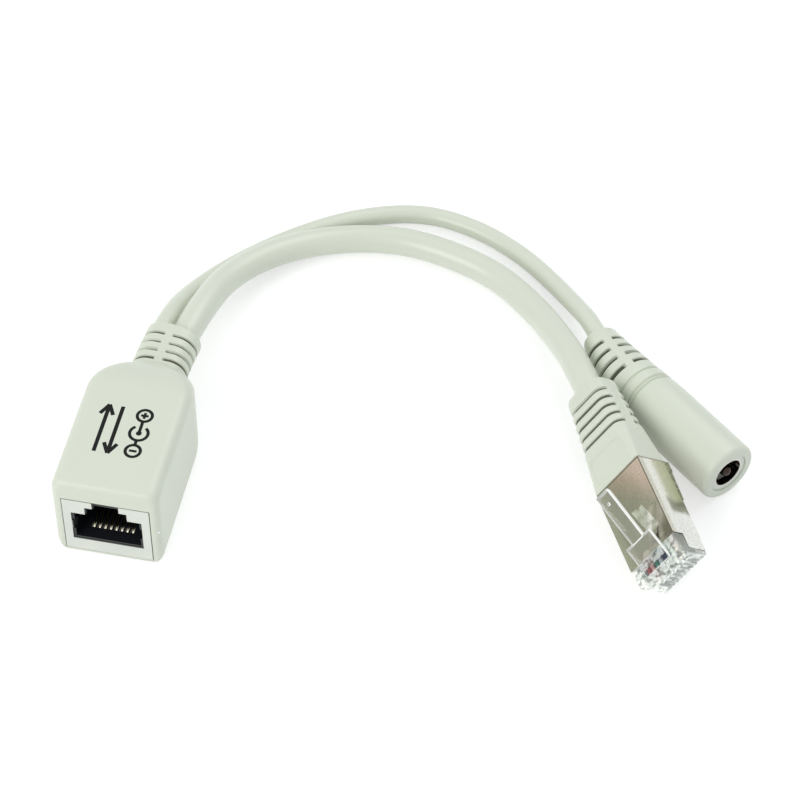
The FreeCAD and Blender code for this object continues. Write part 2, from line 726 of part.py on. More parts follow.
def socket_frame(distance=0.0):
    """The DC socket's place at a distance along its bent boot, with +Y running to its mouth. Past the
    boot the axis is straight."""
    start = Placement(Vector(SOCKET_PLACE[0], SOCKET_PLACE[1], size("socket_diameter") / 2),
                      Rotation(Z_AXIS, SOCKET_HEADING - 90))
    boot = size("socket_boot_length")
    radius = boot / math.radians(size("socket_boot_bend"))
    place = start.multiply(bend_place(radius, min(distance, boot), side=-1))
    beyond = max(distance - boot, 0.0)
    return place.multiply(Placement(Vector(0, beyond, 0), Rotation()))


def groove_ring(width, floor_radius):
    """What a groove round the Y axis takes away, centred on y = 0."""
    start = Vector(0, -width / 2, 0)
    whole = Part.makeCylinder(size("socket_diameter"), width, start, Y_AXIS)
    return whole.cut(Part.makeCylinder(floor_radius, width, start, Y_AXIS))


def socket_housing(cavities):
    """The socket's moulding: a barrel that tapers a little towards its root, and a bent, tapered,
    slotted boot with a groove round each end of its last ring."""
    boot, barrel = size("socket_boot_length"), size("socket_length")
    radius, barrel_root = size("socket_diameter") / 2, size("socket_root_diameter") / 2
    root_radius, end_radius = size("socket_boot_diameter") / 2, size("socket_boot_end_diameter") / 2
    lip, taper = size("socket_boot_lip"), size("socket_taper")

    def radius_at(distance):
        """The boot's radius: it grows as a quarter sine from its end to its root."""
        share = math.sin(distance / boot * math.pi / 2)
        return end_radius + (root_radius - end_radius) * share

    stations = [(0.0, end_radius - lip), (lip, radius_at(lip))]
    stations += [(boot * share, radius_at(boot * share)) for share in (0.25, 0.5, 0.75, 1.0)]
    rings = []
    for distance, ring_radius in stations:
        circle = Part.Wire([Part.makeCircle(ring_radius, Vector(), Y_AXIS)])
        rings.append(moved(circle, socket_frame(distance)))
    solid = Part.makeLoft(rings, True, False)
    tapered = Part.makeCone(barrel_root, radius, taper, Vector(), Y_AXIS)
    straight = Part.makeCylinder(radius, barrel - taper, Vector(0, taper, 0), Y_AXIS)
    mouth_edge = max(straight.Edges, key=lambda edge: edge.CenterOfMass.y)
    straight = straight.makeFillet(size("socket_edge_radius"), [mouth_edge])
    solid = solid.fuse(moved(tapered.fuse(straight), socket_frame(boot)))
    for number in range(int(size("socket_boot_slots"))):
        distance = size("socket_boot_slot_first") + number * size("socket_boot_slot_pitch")
        floor = radius_at(distance) - size("slot_depth")
        ring = groove_ring(size("socket_boot_slot_width"), floor)
        ring = ring.cut(across_box(size("slot_bridge"), size("socket_boot_slot_width"), 4 * radius))
        solid = solid.cut(moved(ring, socket_frame(distance)))
    groove, ring_end = size("socket_groove"), size("socket_ring_length")
    end_floor = barrel_root + (radius - barrel_root) * ring_end / taper - groove
    for distance, floor in ((boot - groove, root_radius - groove), (boot + ring_end, end_floor)):
        solid = solid.cut(moved(groove_ring(2 * groove, floor), socket_frame(distance)))
    for cavity in cavities:
        solid = solid.cut(cavity)
    return solid


def socket_pieces():
    """What the DC socket holds, in its own frame with the mouth at y = 0 and the inside at y < 0:
    the insert, the metal sleeve, the spring that touches a plug's barrel, and the centre pin."""
    insert_start = "-socket_insert_length-socket_recess"
    bore_start = "-socket_recess-bore_depth"
    insert_block = rod("socket_insert_block", "socket_insert_diameter/2", "socket_insert_length",
                       insert_start)
    bore = rod("socket_bore", "bore_diameter/2+sleeve_sheet", "bore_depth", bore_start)
    sleeve_outside = rod("sleeve_outside", "bore_diameter/2+sleeve_sheet", "bore_depth", bore_start)
    sleeve_inside = rod("sleeve_inside", "bore_diameter/2", "bore_depth", bore_start)
    spring_gap = block("spring_gap", ("-socket_spring_width/2-socket_spring_gap", bore_start,
                                      "-bore_diameter/2-2*sleeve_sheet"),
                       "socket_spring_width+2*socket_spring_gap", "bore_depth-socket_spring_setback/2",
                       "4*sleeve_sheet")
    sleeve = cut("socket_sleeve", sleeve_outside, sleeve_inside, spring_gap)
    spring = shaped("socket_spring", socket_spring())
    pin_tail = rod("pin_tail", "pin_diameter/2", "socket_insert_length-pin_setback", insert_start)
    pin_tip = doc.addObject("Part::Sphere", "pin_tip")
    bind(pin_tip, Radius="pin_diameter/2", at_y="-socket_recess-pin_setback")
    pin = joined("socket_pin", [pin_tail, pin_tip])
    pin_hole = rod("pin_hole", "pin_diameter/2", "socket_insert_length", insert_start)
    spring_hole = shaped("spring_hole", socket_spring())
    insert = cut("socket_insert", insert_block, bore, pin_hole, spring_hole)
    return {"socket_insert": insert, "socket_sleeve": sleeve, "socket_spring": spring, "socket_pin": pin}


def socket_spring():
    """A flat spring along the bottom of the bore, humped inwards, that runs back out of the insert."""
    sheet_metal, width = size("socket_spring_sheet"), size("socket_spring_width")
    recess = size("socket_recess")
    wall = -size("bore_diameter") / 2 - sheet_metal
    front, back = -recess - size("socket_spring_setback"), -recess - size("socket_insert_length")
    peak, foot = -recess - size("socket_spring_peak"), -recess - size("socket_spring_foot")
    hump = wall + sheet_metal + size("socket_spring_hump")
    low = [(back, wall), (foot, wall), (peak, hump), (front, wall)]
    outline = low + [(y, z + sheet_metal) for y, z in reversed(low)]
    points = [Vector(-width / 2, y, z) for y, z in outline]
    return Part.Face(Part.makePolygon(points + points[:1])).extrude(X_AXIS * width)


def named(piece, node):
    """Gives an object the label that names its file."""
    piece.Label = node
    nodes.append(piece)
    return piece


nodes = []

# Leads
data_tube, data_length, data_radii = tube(DATA_ROUTE, size("data_cable_diameter") / 2)
power_tube, power_length, power_radii = tube(POWER_ROUTE, size("power_cable_diameter") / 2)
for name, solid, length, radii, diameter in (
    ("data_cable", data_tube, data_length, data_radii, size("data_cable_diameter")),
    ("power_cable", power_tube, power_length, power_radii, size("power_cable_diameter")),
):
    named(shaped(name, solid), name)
    expected = math.pi * diameter**2 / 4 * length
    print(f"{name}: length {length:.1f} mm, volume {solid.Volume / expected:.4f} of section times length,"
          f" radii in diameters {[round(radius / diameter, 1) for radius in radii]}")

# Jack
shield = named(jack_shield(), "jack_shield")
contact_solids = [jack_contact(x) for x in contact_places(size("contact_pitch"))]
contacts = [named(shaped(f"jack_contact_{number}", solid), f"jack_contact_{number}")
            for number, solid in enumerate(contact_solids, start=1)]
named(jack_insert(shield, contacts), "jack_insert")
board = named(jack_board(), "jack_board")
cores = housing_cores()
core_pieces = [named(shaped(name, solid), name) for name, solid in cores.items()]
filler = filler_block()
named(cut("inner_filler", filler, *core_pieces), "inner_filler")
jack_block = Part.makeBox(
    size("shield_width"), size("shield_depth"), size("shield_height"),
    Vector(-size("shield_width") / 2, FRONT, size("shield_base")))
housing_cavities = [jack_block, shape_of(board), shape_of(filler), data_tube, power_tube]
named(shaped("jack_housing", jack_housing(housing_cavities)), "jack_housing")

# Plug, made along its own axis and then laid in its place
plug_place = plug_frame()
data_end = plug_place.inverse().multVec(Vector(*DATA_ROUTE[-1]))
wire_solids = [tube(points, size("plug_wire") / 2)[0] for points in plug_wire_paths(data_end.y)]
wires = [shaped(f"whole_wire_{number}", solid) for number, solid in enumerate(wire_solids, start=1)]
plug_cable = moved(data_tube, plug_place.inverse())
plug_pieces = {f"plug_contact_{number}": plug_contact(number) for number in range(1, 9)}
for number, wire in enumerate(wires, start=1):
    contact = plug_pieces[f"plug_contact_{number}"]
    plug_pieces[f"plug_wire_{number}"] = cut(f"wire_{number}_cut", wire, contact)
plug_pieces["plug_body"] = plug_body(wires)
plug_pieces["plug_shield"] = plug_shield()
plug_pieces["plug_load_bar"] = load_bar(wires)
plug_pieces["plug_boot"] = shaped("plug_boot", plug_boot(plug_cable, data_end.y))
doc.recompute()
for name, piece in plug_pieces.items():
    piece.Label = name + "_unplaced"
    named(shaped(name + "_laid", moved(piece.Shape, plug_place)), name)
print("plug frame height", round(plug_place.Base.z, 3), "cable end in the plug's frame", data_end)

# DC socket
mouth = socket_frame(size("socket_boot_length") + size("socket_length"))
pieces = socket_pieces()
doc.recompute()
for name, piece in pieces.items():
    piece.Label = name + "_unplaced"
    named(shaped(name + "_laid", moved(piece.Shape, mouth)), name)
power_end = Vector(*POWER_ROUTE[-1])
power_heading = (power_end - Vector(*POWER_ROUTE[-2])).normalize()
insert_back = size("socket_recess") + size("socket_insert_length")
core_solids = []
spread, core_straight = size("socket_core_spread"), size("socket_core_straight")
for name, offset, target in (("positive", spread, Vector(0, -insert_back, 0)),
                             ("negative", -spread, Vector(0, -insert_back, -size("bore_diameter") / 2))):
    start = power_end + Vector(0, 0, offset)
    through = socket_frame(size("socket_core_bend_place")).multVec(Vector(0, 0, offset))
    route = [start, start + power_heading * core_straight * 2 / 3, through,
             mouth.multVec(target - Y_AXIS * core_straight), mouth.multVec(target)]
    core = tube([tuple(point) for point in route], size("core_wire") / 2)[0]
    core_solids.append(core)
    named(shaped(f"socket_core_{name}", core), f"socket_core_{name}")
insert_cavity = moved(Part.makeCylinder(
    size("socket_insert_diameter") / 2, insert_back, Vector(0, -insert_back, 0), Y_AXIS), mouth)
named(shaped("socket_housing", socket_housing([insert_cavity, power_tube] + core_solids)), "socket_housing")

doc.recompute()
os.makedirs("parts", exist_ok=True)
broken = [thing.Name for thing in doc.Objects if set(thing.State) & {"Invalid", "Error"}]
for piece in nodes:
    shape = piece.Shape
    if shape.isNull() or not shape.isValid() or shape.Volume <= 0 or len(shape.Solids) != 1:
        broken.append(f"{piece.Label}: {len(shape.Solids)} solids, null {shape.isNull()}")
if broken:
    raise RuntimeError("not sound: " + ", ".join(broken))
for piece in nodes:
    piece.Shape.exportStep(f"parts/{piece.Label}.step")
print(len(nodes), "nodes")
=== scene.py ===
"""The looks of a passive power over Ethernet injector: soft grey mouldings with ribbed boots, two leads,
a jack in its metal shield, a clear shielded plug and a round DC socket.

Lengths in this file are millimetres until lay_mesh turns them into metres, in the frame's own axes."""
import json
import math

import bmesh
import bpy
import mathutils
import numpy as np
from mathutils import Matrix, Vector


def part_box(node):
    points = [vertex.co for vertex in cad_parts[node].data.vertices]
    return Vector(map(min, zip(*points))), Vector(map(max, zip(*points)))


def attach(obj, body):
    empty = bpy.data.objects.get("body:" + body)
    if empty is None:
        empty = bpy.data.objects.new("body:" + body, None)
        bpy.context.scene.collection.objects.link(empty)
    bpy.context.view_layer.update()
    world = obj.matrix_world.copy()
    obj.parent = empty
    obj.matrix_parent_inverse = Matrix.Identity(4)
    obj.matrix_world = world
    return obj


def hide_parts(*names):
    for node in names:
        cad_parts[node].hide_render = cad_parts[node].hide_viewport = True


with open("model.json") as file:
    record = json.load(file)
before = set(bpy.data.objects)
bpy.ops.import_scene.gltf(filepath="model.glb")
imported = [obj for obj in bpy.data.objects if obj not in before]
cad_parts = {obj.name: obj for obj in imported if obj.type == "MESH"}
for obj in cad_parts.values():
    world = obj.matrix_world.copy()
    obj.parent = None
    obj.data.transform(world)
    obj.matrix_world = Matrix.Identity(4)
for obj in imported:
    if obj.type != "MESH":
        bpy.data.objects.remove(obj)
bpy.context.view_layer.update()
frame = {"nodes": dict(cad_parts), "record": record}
NODES = frame["nodes"]
MM = 0.001


def span(start, end, count, stop=True):
    """Evenly spaced values from start to end."""
    return np.linspace(start, end, count, endpoint=stop)


def smooth(low, high, value):
    """0 below low, 1 above high, and the cubic 3t^2 - 2t^3 between."""
    share = np.clip((value - low) / (high - low), 0.0, 1.0)
    return share * share * (3 - 2 * share)


def band(value, centre, width, edge):
    """1 inside a band of that width round the centre, falling to 0 over the edge on each side."""
    return 1 - smooth(width / 2 - edge / 2, width / 2 + edge / 2, np.abs(value - centre))


# Where the jack's front lies, and the plug

FRONT = -12.0
CONTACTS, CONTACT_PITCH = 8, 1.02
PLUG_PLACE, PLUG_HEADING, PLUG_TILT, PLUG_ROLL = (89.0, 18.05), 209.8, 3.0, 53.5
PLUG_WIDTH, PLUG_THICKNESS, PLUG_LENGTH = 11.7, 6.6, 21.2


def turn_about(axis, degrees):
    """A rotation matrix about one of the axes 0, 1 or 2."""
    angle = math.radians(degrees)
    first, second = (axis + 1) % 3, (axis + 2) % 3
    matrix = np.eye(3)
    matrix[first, first] = matrix[second, second] = math.cos(angle)
    matrix[second, first] = math.sin(angle)
    matrix[first, second] = -math.sin(angle)
    return matrix


def plug_frame():
    """The plug's turn and place: +Y out of its nose and +Z out of its latch face, resting on the lowest
    corner of its nose."""
    tilt, roll = math.radians(PLUG_TILT), math.radians(PLUG_ROLL)
    drop = PLUG_WIDTH / 2 * math.sin(roll) + PLUG_THICKNESS / 2 * math.cos(roll)
    height = PLUG_LENGTH * math.sin(tilt) + drop * math.cos(tilt)
    turn = turn_about(2, PLUG_HEADING) @ turn_about(0, -PLUG_TILT) @ turn_about(1, PLUG_ROLL)
    return turn, np.array([*PLUG_PLACE, height])


PLUG_TURN, PLUG_ORIGIN = plug_frame()


# Materials: the same small kit of nodes serves them all

COLOUR = ("Colour", "NodeSocketColor")
GLOW = ("Glow", "NodeSocketColor")


def place(tree, kind, inputs=None, **settings):
    """Adds a node; an input that is a socket is linked, and any other is set as its value."""
    node = tree.nodes.new(kind)
    for name, value in settings.items():
        setattr(node, name, value)
    for name, value in (inputs or {}).items():
        if isinstance(value, bpy.types.NodeSocket):
            tree.links.new(value, node.inputs[name])
        else:
            node.inputs[name].default_value = value
    return node


def new_group(name, inputs, outputs):
    """An empty node group with float or colour sockets: returns the tree, its input and its output."""
    tree = bpy.data.node_groups.new(name, "ShaderNodeTree")
    for socket_name, kind, value in inputs:
        socket = tree.interface.new_socket(name=socket_name, in_out="INPUT", socket_type=kind)
        socket.default_value = value
    for socket_name, kind in outputs:
        tree.interface.new_socket(name=socket_name, in_out="OUTPUT", socket_type=kind)
    return tree, tree.nodes.new("NodeGroupInput"), tree.nodes.new("NodeGroupOutput")


def object_place(tree):
    """The Object coordinates, in metres."""
    return place(tree, "ShaderNodeTexCoord").outputs["Object"]


def along_axis(tree, where, axis):
    """One coordinate, X, Y or Z, of a place."""
    return place(tree, "ShaderNodeSeparateXYZ", {"Vector": where}).outputs[axis]


def noise_at(tree, where, scale, detail, roughness=0.5):
    """Soft noise over a place, about a half on average."""
    noise = place(tree, "ShaderNodeTexNoise", {
        "Vector": where, "Scale": scale, "Detail": detail, "Roughness": roughness})
    return noise.outputs["Fac"]


def mixture(tree, *terms):
    """The sum of terms, each a value times a number, with a constant last."""
    total = terms[-1]
    for value, factor in terms[:-1]:
        step = place(tree, "ShaderNodeMath", {0: value, 1: factor, 2: total}, operation="MULTIPLY_ADD")
        total = step.outputs[0]
    return total


def rise_between(tree, value, low, high):
    """0 below low, 1 above high and smooth between; with low above high it falls instead."""
    return place(tree, "ShaderNodeMapRange", {"Value": value, "From Min": low, "From Max": high},
                 interpolation_type="SMOOTHSTEP").outputs[0]


def product(tree, first, *others):
    """The product of masks."""
    for mask in others:
        first = place(tree, "ShaderNodeMath", {0: first, 1: mask}, operation="MULTIPLY").outputs[0]
    return first


def toward(tree, base, colour, *masks):
    """One colour moved towards another by the product of the masks."""
    colour = colour if isinstance(colour, bpy.types.NodeSocket) else (*colour, 1)
    return place(tree, "ShaderNodeMix", {"Factor": product(tree, *masks), "A": base, "B": colour},
                 data_type="RGBA").outputs["Result"]


def mottle_group():
    """Colour that drifts a little over the piece: one colour moves towards the other with soft noise."""
    tree, source, result = new_group(
        "mottle",
        [(*COLOUR, (0.7, 0.7, 0.7, 1)), ("Drift", "NodeSocketColor", (0.6, 0.6, 0.6, 1)),
         ("Scale", "NodeSocketFloat", 60.0), ("Amount", "NodeSocketFloat", 0.4)],
        [COLOUR])
    value = source.outputs
    noise = noise_at(tree, object_place(tree), value["Scale"], 3.0, 0.55)
    tree.links.new(toward(tree, value["Colour"], value["Drift"], noise, value["Amount"]),
                   result.inputs["Colour"])
    return tree


def grain_group():
    """Height of a moulded surface: fine grain with a slow waviness under it."""
    tree, source, result = new_group(
        "moulded grain",
        [("Fine", "NodeSocketFloat", 4000.0), ("Wave", "NodeSocketFloat", 250.0),
         ("Wave share", "NodeSocketFloat", 0.5)],
        [("Height", "NodeSocketFloat")])
    value, where = source.outputs, object_place(tree)
    mix = place(tree, "ShaderNodeMix", {"Factor": value["Wave share"],
                                        "A": noise_at(tree, where, value["Fine"], 2.0),
                                        "B": noise_at(tree, where, value["Wave"], 1.0)})
    tree.links.new(mix.outputs["Result"], result.inputs["Height"])
    return tree


def plug_places(tree):
    """The plug's own x, y and z in millimetres, from Object coordinates."""
    turned = place(tree, "ShaderNodeMapping", {
        "Vector": object_place(tree), "Location": tuple(PLUG_ORIGIN * MM),
        "Rotation": tuple(mathutils.Matrix(PLUG_TURN.tolist()).to_euler("XYZ")),
        "Scale": (MM, MM, MM)}, vector_type="TEXTURE")
    return place(tree, "ShaderNodeSeparateXYZ", {"Vector": turned.outputs[0]}).outputs


def plug_sheet_painted_reflections_group():
    """The plug's sheet with its surroundings painted into its colour as painted reflections: the latch face
    is rosy by the boot and greenish grey beyond, with one slanting painted reflection, and the narrow side
    has a dull middle, a band of painted shade and a bright painted end. The borders are smooth steps over
    the plug's own x, y and z, and noise makes y drift."""
    tree, _, result = new_group("plug sheet painted reflections", [], [COLOUR])
    x, y, z = plug_places(tree)
    where = object_place(tree)
    cloud, speck = noise_at(tree, where, 420.0, 4.0), noise_at(tree, where, 3400.0, 3.0)
    drifted = mixture(tree, (y, 1.0), (cloud, 3.0), -1.5)

    def step(value, low, high):
        return rise_between(tree, value, low, high)

    # The latch face: painted reflections rosy to greenish, dull low on the left, paler on the right, and
    # painted shade at its left edge
    across_and_along = mixture(tree, (drifted, 1.0), (x, 0.8), 4.0)
    face = toward(tree, (0.605, 0.492, 0.395, 1), (0.475, 0.450, 0.366), step(across_and_along, 4.0, 11.0))
    face = toward(tree, face, (0.220, 0.210, 0.160), step(drifted, 12.0, 15.5), step(x, -3.0, -4.8))
    face = toward(tree, face, (0.620, 0.610, 0.510), step(x, 3.4, 5.4))
    face = toward(tree, face, (0.200, 0.170, 0.130), step(x, -5.5, -5.8))
    # One slanting painted reflection across the latch face
    reflection_slant = mixture(tree, (x, 1.0), (y, 0.30), -1.7)
    face = toward(tree, face, (0.900, 0.900, 0.830), step(drifted, 8.0, 8.7), step(drifted, 14.6, 13.0),
                  step(reflection_slant, -1.6, -1.3), step(reflection_slant, 1.5, 1.2), step(cloud, 0.22, 0.52))

    # The narrow side: painted reflections olive to pale, dull at its top, a band of painted shade, a bright
    # painted end and painted shade on the ragged flange
    side = toward(tree, (0.520, 0.525, 0.390, 1), (0.760, 0.775, 0.700), step(z, -0.6, 1.2))
    side = toward(tree, side, (0.600, 0.600, 0.510), step(z, 2.0, 2.8))
    side = toward(tree, side, (0.300, 0.312, 0.240), step(drifted, 8.8, 10.2), step(z, 1.4, 0.2))
    side = toward(tree, side, (0.760, 0.775, 0.735), step(drifted, 11.4, 13.0), step(z, 3.4, 1.0))
    side = toward(tree, side, (0.200, 0.200, 0.150), step(z, -3.05, -3.25), step(y, 10.0, 8.5),
                  step(speck, 0.42, 0.52))

    # Both together, with fine specks and painted shade along the seam at the boot
    on_side = place(tree, "ShaderNodeMath", {0: x, 1: -5.9}, operation="LESS_THAN").outputs[0]
    colour = toward(tree, face, side, on_side)
    colour = toward(tree, colour, (0.100, 0.090, 0.060), step(speck, 0.40, 0.70), 0.22)
    colour = toward(tree, colour, (0.280, 0.250, 0.200), step(y, 0.35, 0.10))
    tree.links.new(colour, result.inputs["Colour"])
    return tree


def nose_painted_light_group():
    """The nose's clear plastic is full of small steps, painted as light and dull patches side by side:
    painted highlights and painted glow. Its narrow side is painted a duller grey, and the painted glow fades
    towards it and the teeth."""
    tree, _, result = new_group("nose painted light", [], [COLOUR, GLOW])
    x, _, z = plug_places(tree)
    light = rise_between(tree, noise_at(tree, object_place(tree), 950.0, 2.5), 0.40, 0.52)
    colour = toward(tree, (0.36, 0.42, 0.39, 1), (1.0, 1.0, 0.99), light)
    colour = toward(tree, colour, (0.55, 0.57, 0.52), rise_between(tree, x, -5.3, -5.8))
    tree.links.new(colour, result.inputs["Colour"])
    # The light patches glow as painted light, fading towards the narrow side and the teeth
    glow = toward(tree, (0.0, 0.0, 0.0, 1), (0.47, 0.50, 0.47), light, rise_between(tree, x, -5.8, -5.2),
                  rise_between(tree, z, -3.4, -2.2))
    tree.links.new(glow, result.inputs["Glow"])
    return tree


def jack_sheet_port_shade_group():
    """The jack's sheet is pale on its face and painted dark, as painted shade, where it folds back into the
    port.
    """
    tree, _, result = new_group("jack sheet painted port shade", [], [COLOUR])
    where = object_place(tree)
    face = toward(tree, (0.73, 0.75, 0.70, 1), (0.64, 0.67, 0.61), noise_at(tree, where, 160.0, 3.0))
    # Painted shade: the sheet turns dark just behind the front, inside the port
    port_shade = rise_between(tree, along_axis(tree, where, "Y"), (FRONT + 0.1) * MM, (FRONT + 0.3) * MM)
    tree.links.new(toward(tree, face, (0.05, 0.06, 0.05), port_shade), result.inputs["Colour"])
    return tree


def contact_painted_glint_group():
    """The jack's contacts get a painted highlight and a painted glow where they rise out of the comb, and
    are painted dark further up, as painted shade.
    """
    tree, _, result = new_group("contact painted glint", [], [COLOUR, GLOW])
    height = along_axis(tree, object_place(tree), "Z")
    glint = product(tree, rise_between(tree, height, 3.3 * MM, 3.5 * MM),
                  rise_between(tree, height, 3.85 * MM, 3.6 * MM))
    tree.links.new(toward(tree, (0.10, 0.085, 0.05, 1), (1.0, 0.98, 0.90), glint), result.inputs["Colour"])
    tree.links.new(toward(tree, (0.0, 0.0, 0.0, 1), (0.60, 0.56, 0.44), glint), result.inputs["Glow"])
    return tree


MOTTLE = mottle_group()
GRAIN = grain_group()


def new_finish(name, roughness, bump=0.1, metallic=0.0, grain=(4000.0, 250.0, 0.5), deep=0.0001, **sockets):
    """A material with moulded grain, as bump over a depth in metres, and no colour yet. Sockets not
    named here are set on the shader itself."""
    material = bpy.data.materials.new(name)
    material.use_nodes = True
    tree = material.node_tree
    shader = tree.nodes["Principled BSDF"]
    height = place(tree, "ShaderNodeGroup", {"Fine": grain[0], "Wave": grain[1], "Wave share": grain[2]},
                   node_tree=GRAIN)
    relief = place(tree, "ShaderNodeBump", {
        "Strength": bump, "Distance": deep, "Height": height.outputs["Height"]})
    tree.links.new(relief.outputs["Normal"], shader.inputs["Normal"])
    shader.inputs["Roughness"].default_value = roughness
    shader.inputs["Metallic"].default_value = metallic
    for socket, value in sockets.items():
        shader.inputs[socket.replace("_", " ")].default_value = value
    return material


def finish_of(name, colour, drift, roughness, **settings):
    """A material whose colour drifts from one to the other."""
    material = new_finish(name, roughness, **settings)
    tree = material.node_tree
    tint = place(tree, "ShaderNodeGroup", {"Colour": (*colour, 1), "Drift": (*drift, 1)}, node_tree=MOTTLE)
    tree.links.new(tint.outputs["Colour"], tree.nodes["Principled BSDF"].inputs["Base Color"])
    return material


def tinted(name, group, roughness, **settings):
    """A material that takes its colour from a group of its own, and its glow where the group has one."""
    material = new_finish(name, roughness, **settings)
    tree = material.node_tree
    shader = tree.nodes["Principled BSDF"]
    tint = place(tree, "ShaderNodeGroup", node_tree=group)
    tree.links.new(tint.outputs["Colour"], shader.inputs["Base Color"])
    if "Glow" in tint.outputs:
        tree.links.new(tint.outputs["Glow"], shader.inputs["Emission Color"])
        shader.inputs["Emission Strength"].default_value = 1.0
    return material


SOFT_GREY = (0.690, 0.720, 0.610)
SOFT_MOULDING = finish_of("soft moulding", SOFT_GREY, (0.640, 0.675, 0.565), 0.38, bump=0.12,
                         Coat_Weight=0.12, Coat_Roughness=0.3)
LEAD_JACKET = finish_of("lead jacket", SOFT_GREY, (0.650, 0.680, 0.570), 0.32, Coat_Weight=0.3,
                        Coat_Roughness=0.22)
SLOT_SHADE = finish_of("slot shade", (0.190, 0.195, 0.150), (0.160, 0.165, 0.125), 0.6)
# Satin nickel with painted shade where the jack's sheet folds into the port
SATIN_NICKEL_PAINTED_PORT_SHADE = tinted("satin nickel", jack_sheet_port_shade_group(), 0.34, metallic=1.0, bump=0.15)
# Sheet metal with painted reflections and painted shade in its colour
PLUG_SHEET_PAINTED_REFLECTIONS = tinted("plug sheet", plug_sheet_painted_reflections_group(), 0.13, metallic=1.0, bump=0.30,
                    grain=(1500.0, 160.0, 0.85))
BLACK_PLASTIC = finish_of("black plastic", (0.010, 0.011, 0.014), (0.018, 0.019, 0.023), 0.32)
NICKEL = finish_of("nickel plate", (0.62, 0.60, 0.55), (0.40, 0.38, 0.34), 0.16, metallic=1.0, bump=0.08)
# Chrome painted dark: painted shade and dark reflection on the pin deep in the socket's bore
PIN_CHROME_PAINTED_DARK = finish_of("pin chrome painted dark", (0.060, 0.045, 0.036), (0.030, 0.024, 0.020), 0.22, metallic=1.0,
                        bump=0.3)
PALE_GOLD = finish_of("pale gold plate", (0.95, 0.90, 0.76), (0.90, 0.84, 0.70), 0.24, metallic=1.0,
                      bump=0.05)
# Gold with a painted highlight and painted glow on the contacts' bends, and painted shade further up
CONTACT_GOLD_PAINTED_GLINT = tinted("contact gold", contact_painted_glint_group(), 0.30, metallic=1.0, bump=0.05)
BOARD_GREEN = finish_of("board green", (0.02, 0.16, 0.07), (0.03, 0.20, 0.09), 0.4)
MILKY_FILLER = finish_of("milky filler", (0.80, 0.80, 0.78), (0.74, 0.74, 0.71), 0.5)
SOCKET_RING = finish_of("socket ring", (0.690, 0.725, 0.650), (0.650, 0.685, 0.615), 0.35)
PRINT = finish_of("black print", (0.006, 0.007, 0.006), (0.012, 0.013, 0.012), 0.6, bump=0.03,
                  Specular_IOR_Level=0.15)
CLEAR = finish_of("clear plastic", (0.97, 0.98, 0.98), (0.93, 0.95, 0.95), 0.03, bump=0.05,
                  Transmission_Weight=1.0, IOR=1.46)
# Clear nose plastic with painted highlights and a painted glow
NOSE_CLEAR_PAINTED_LIGHT = tinted("nose plastic", nose_painted_light_group(), 0.05, bump=0.8, deep=0.0006, grain=(1300.0, 600.0, 0.5),
                    Transmission_Weight=0.60, IOR=1.46, Alpha=0.56)
# White on the latch's narrow sides: a painted highlight
LATCH_EDGE_PAINTED_HIGHLIGHT = finish_of("latch edge painted highlight", (1.0, 1.0, 0.97), (0.97, 0.97, 0.94), 0.10, Transmission_Weight=0.05,
                    IOR=1.46)
# Pale white as painted light: on the clear body's core and on the moulding's nib
WHITE_PAINTED_LIGHT = finish_of("white painted light", (0.85, 0.87, 0.86), (0.70, 0.74, 0.73), 0.5)
INSULATION = {
    slot: finish_of("insulation " + slot, colour, tuple(0.85 * part for part in colour), 0.35, bump=0.05)
    for slot, colour in {
        "wire_pale_orange": (0.86, 0.82, 0.76), "wire_orange": (0.74, 0.56, 0.44),
        "wire_pale_green": (0.45, 0.70, 0.58), "wire_green": (0.07, 0.27, 0.21),
        "wire_pale_blue": (0.55, 0.62, 0.66), "wire_blue": (0.03, 0.05, 0.11),
        "wire_pale_brown": (0.76, 0.46, 0.44), "wire_brown": (0.42, 0.12, 0.12),
        "core_red": (0.55, 0.02, 0.02), "core_black": (0.015, 0.015, 0.015),
    }.items()
}
FINISHES = {
    "moulding": SOFT_MOULDING, "cable_jacket": LEAD_JACKET, "shield_metal": SATIN_NICKEL_PAINTED_PORT_SHADE,
    "black_plastic": BLACK_PLASTIC, "gold": PALE_GOLD, "circuit_board": BOARD_GREEN,
    "filler": MILKY_FILLER, "clear_plastic": CLEAR, "socket_plastic": SOCKET_RING,
    "socket_metal": NICKEL, **INSULATION,
}


def dress_nodes():
    """Gives every CAD node the finish of its slot, but for the few that have one of their own."""
    own = {"plug_shield": PLUG_SHEET_PAINTED_REFLECTIONS, "socket_pin": PIN_CHROME_PAINTED_DARK}
    own.update({f"jack_contact_{number + 1}": CONTACT_GOLD_PAINTED_GLINT for number in range(CONTACTS)})
    for entry in frame["record"]["subparts"]:
        materials = NODES[entry["node"]].data.materials
        materials.clear()
        materials.append(own.get(entry["node"], FINISHES[entry["material_slot"]]))


# Surfaces: a grid of points, closed round its second index, becomes a mesh

CREASE = 35.0


def lay_mesh(name, grid, material):
    """A mesh from a grid of points in millimetres: quads between its rings, and a flat face on each end."""
    rows, columns = grid.shape[:2]
    index = np.arange(rows * columns).reshape(rows, columns)
    above, below = index[:-1], index[1:]
    quads = np.stack([above, np.roll(above, -1, 1), np.roll(below, -1, 1), below], axis=-1).reshape(-1, 4)
    faces = quads.tolist()
    faces.append(index[0][::-1].tolist())
    faces.append(index[-1].tolist())
    mesh = bpy.data.meshes.new(name)
    mesh.from_pydata((grid.reshape(-1, 3) * MM).tolist(), [], faces)
    mesh.validate()
    return finish_mesh(name, mesh, material)


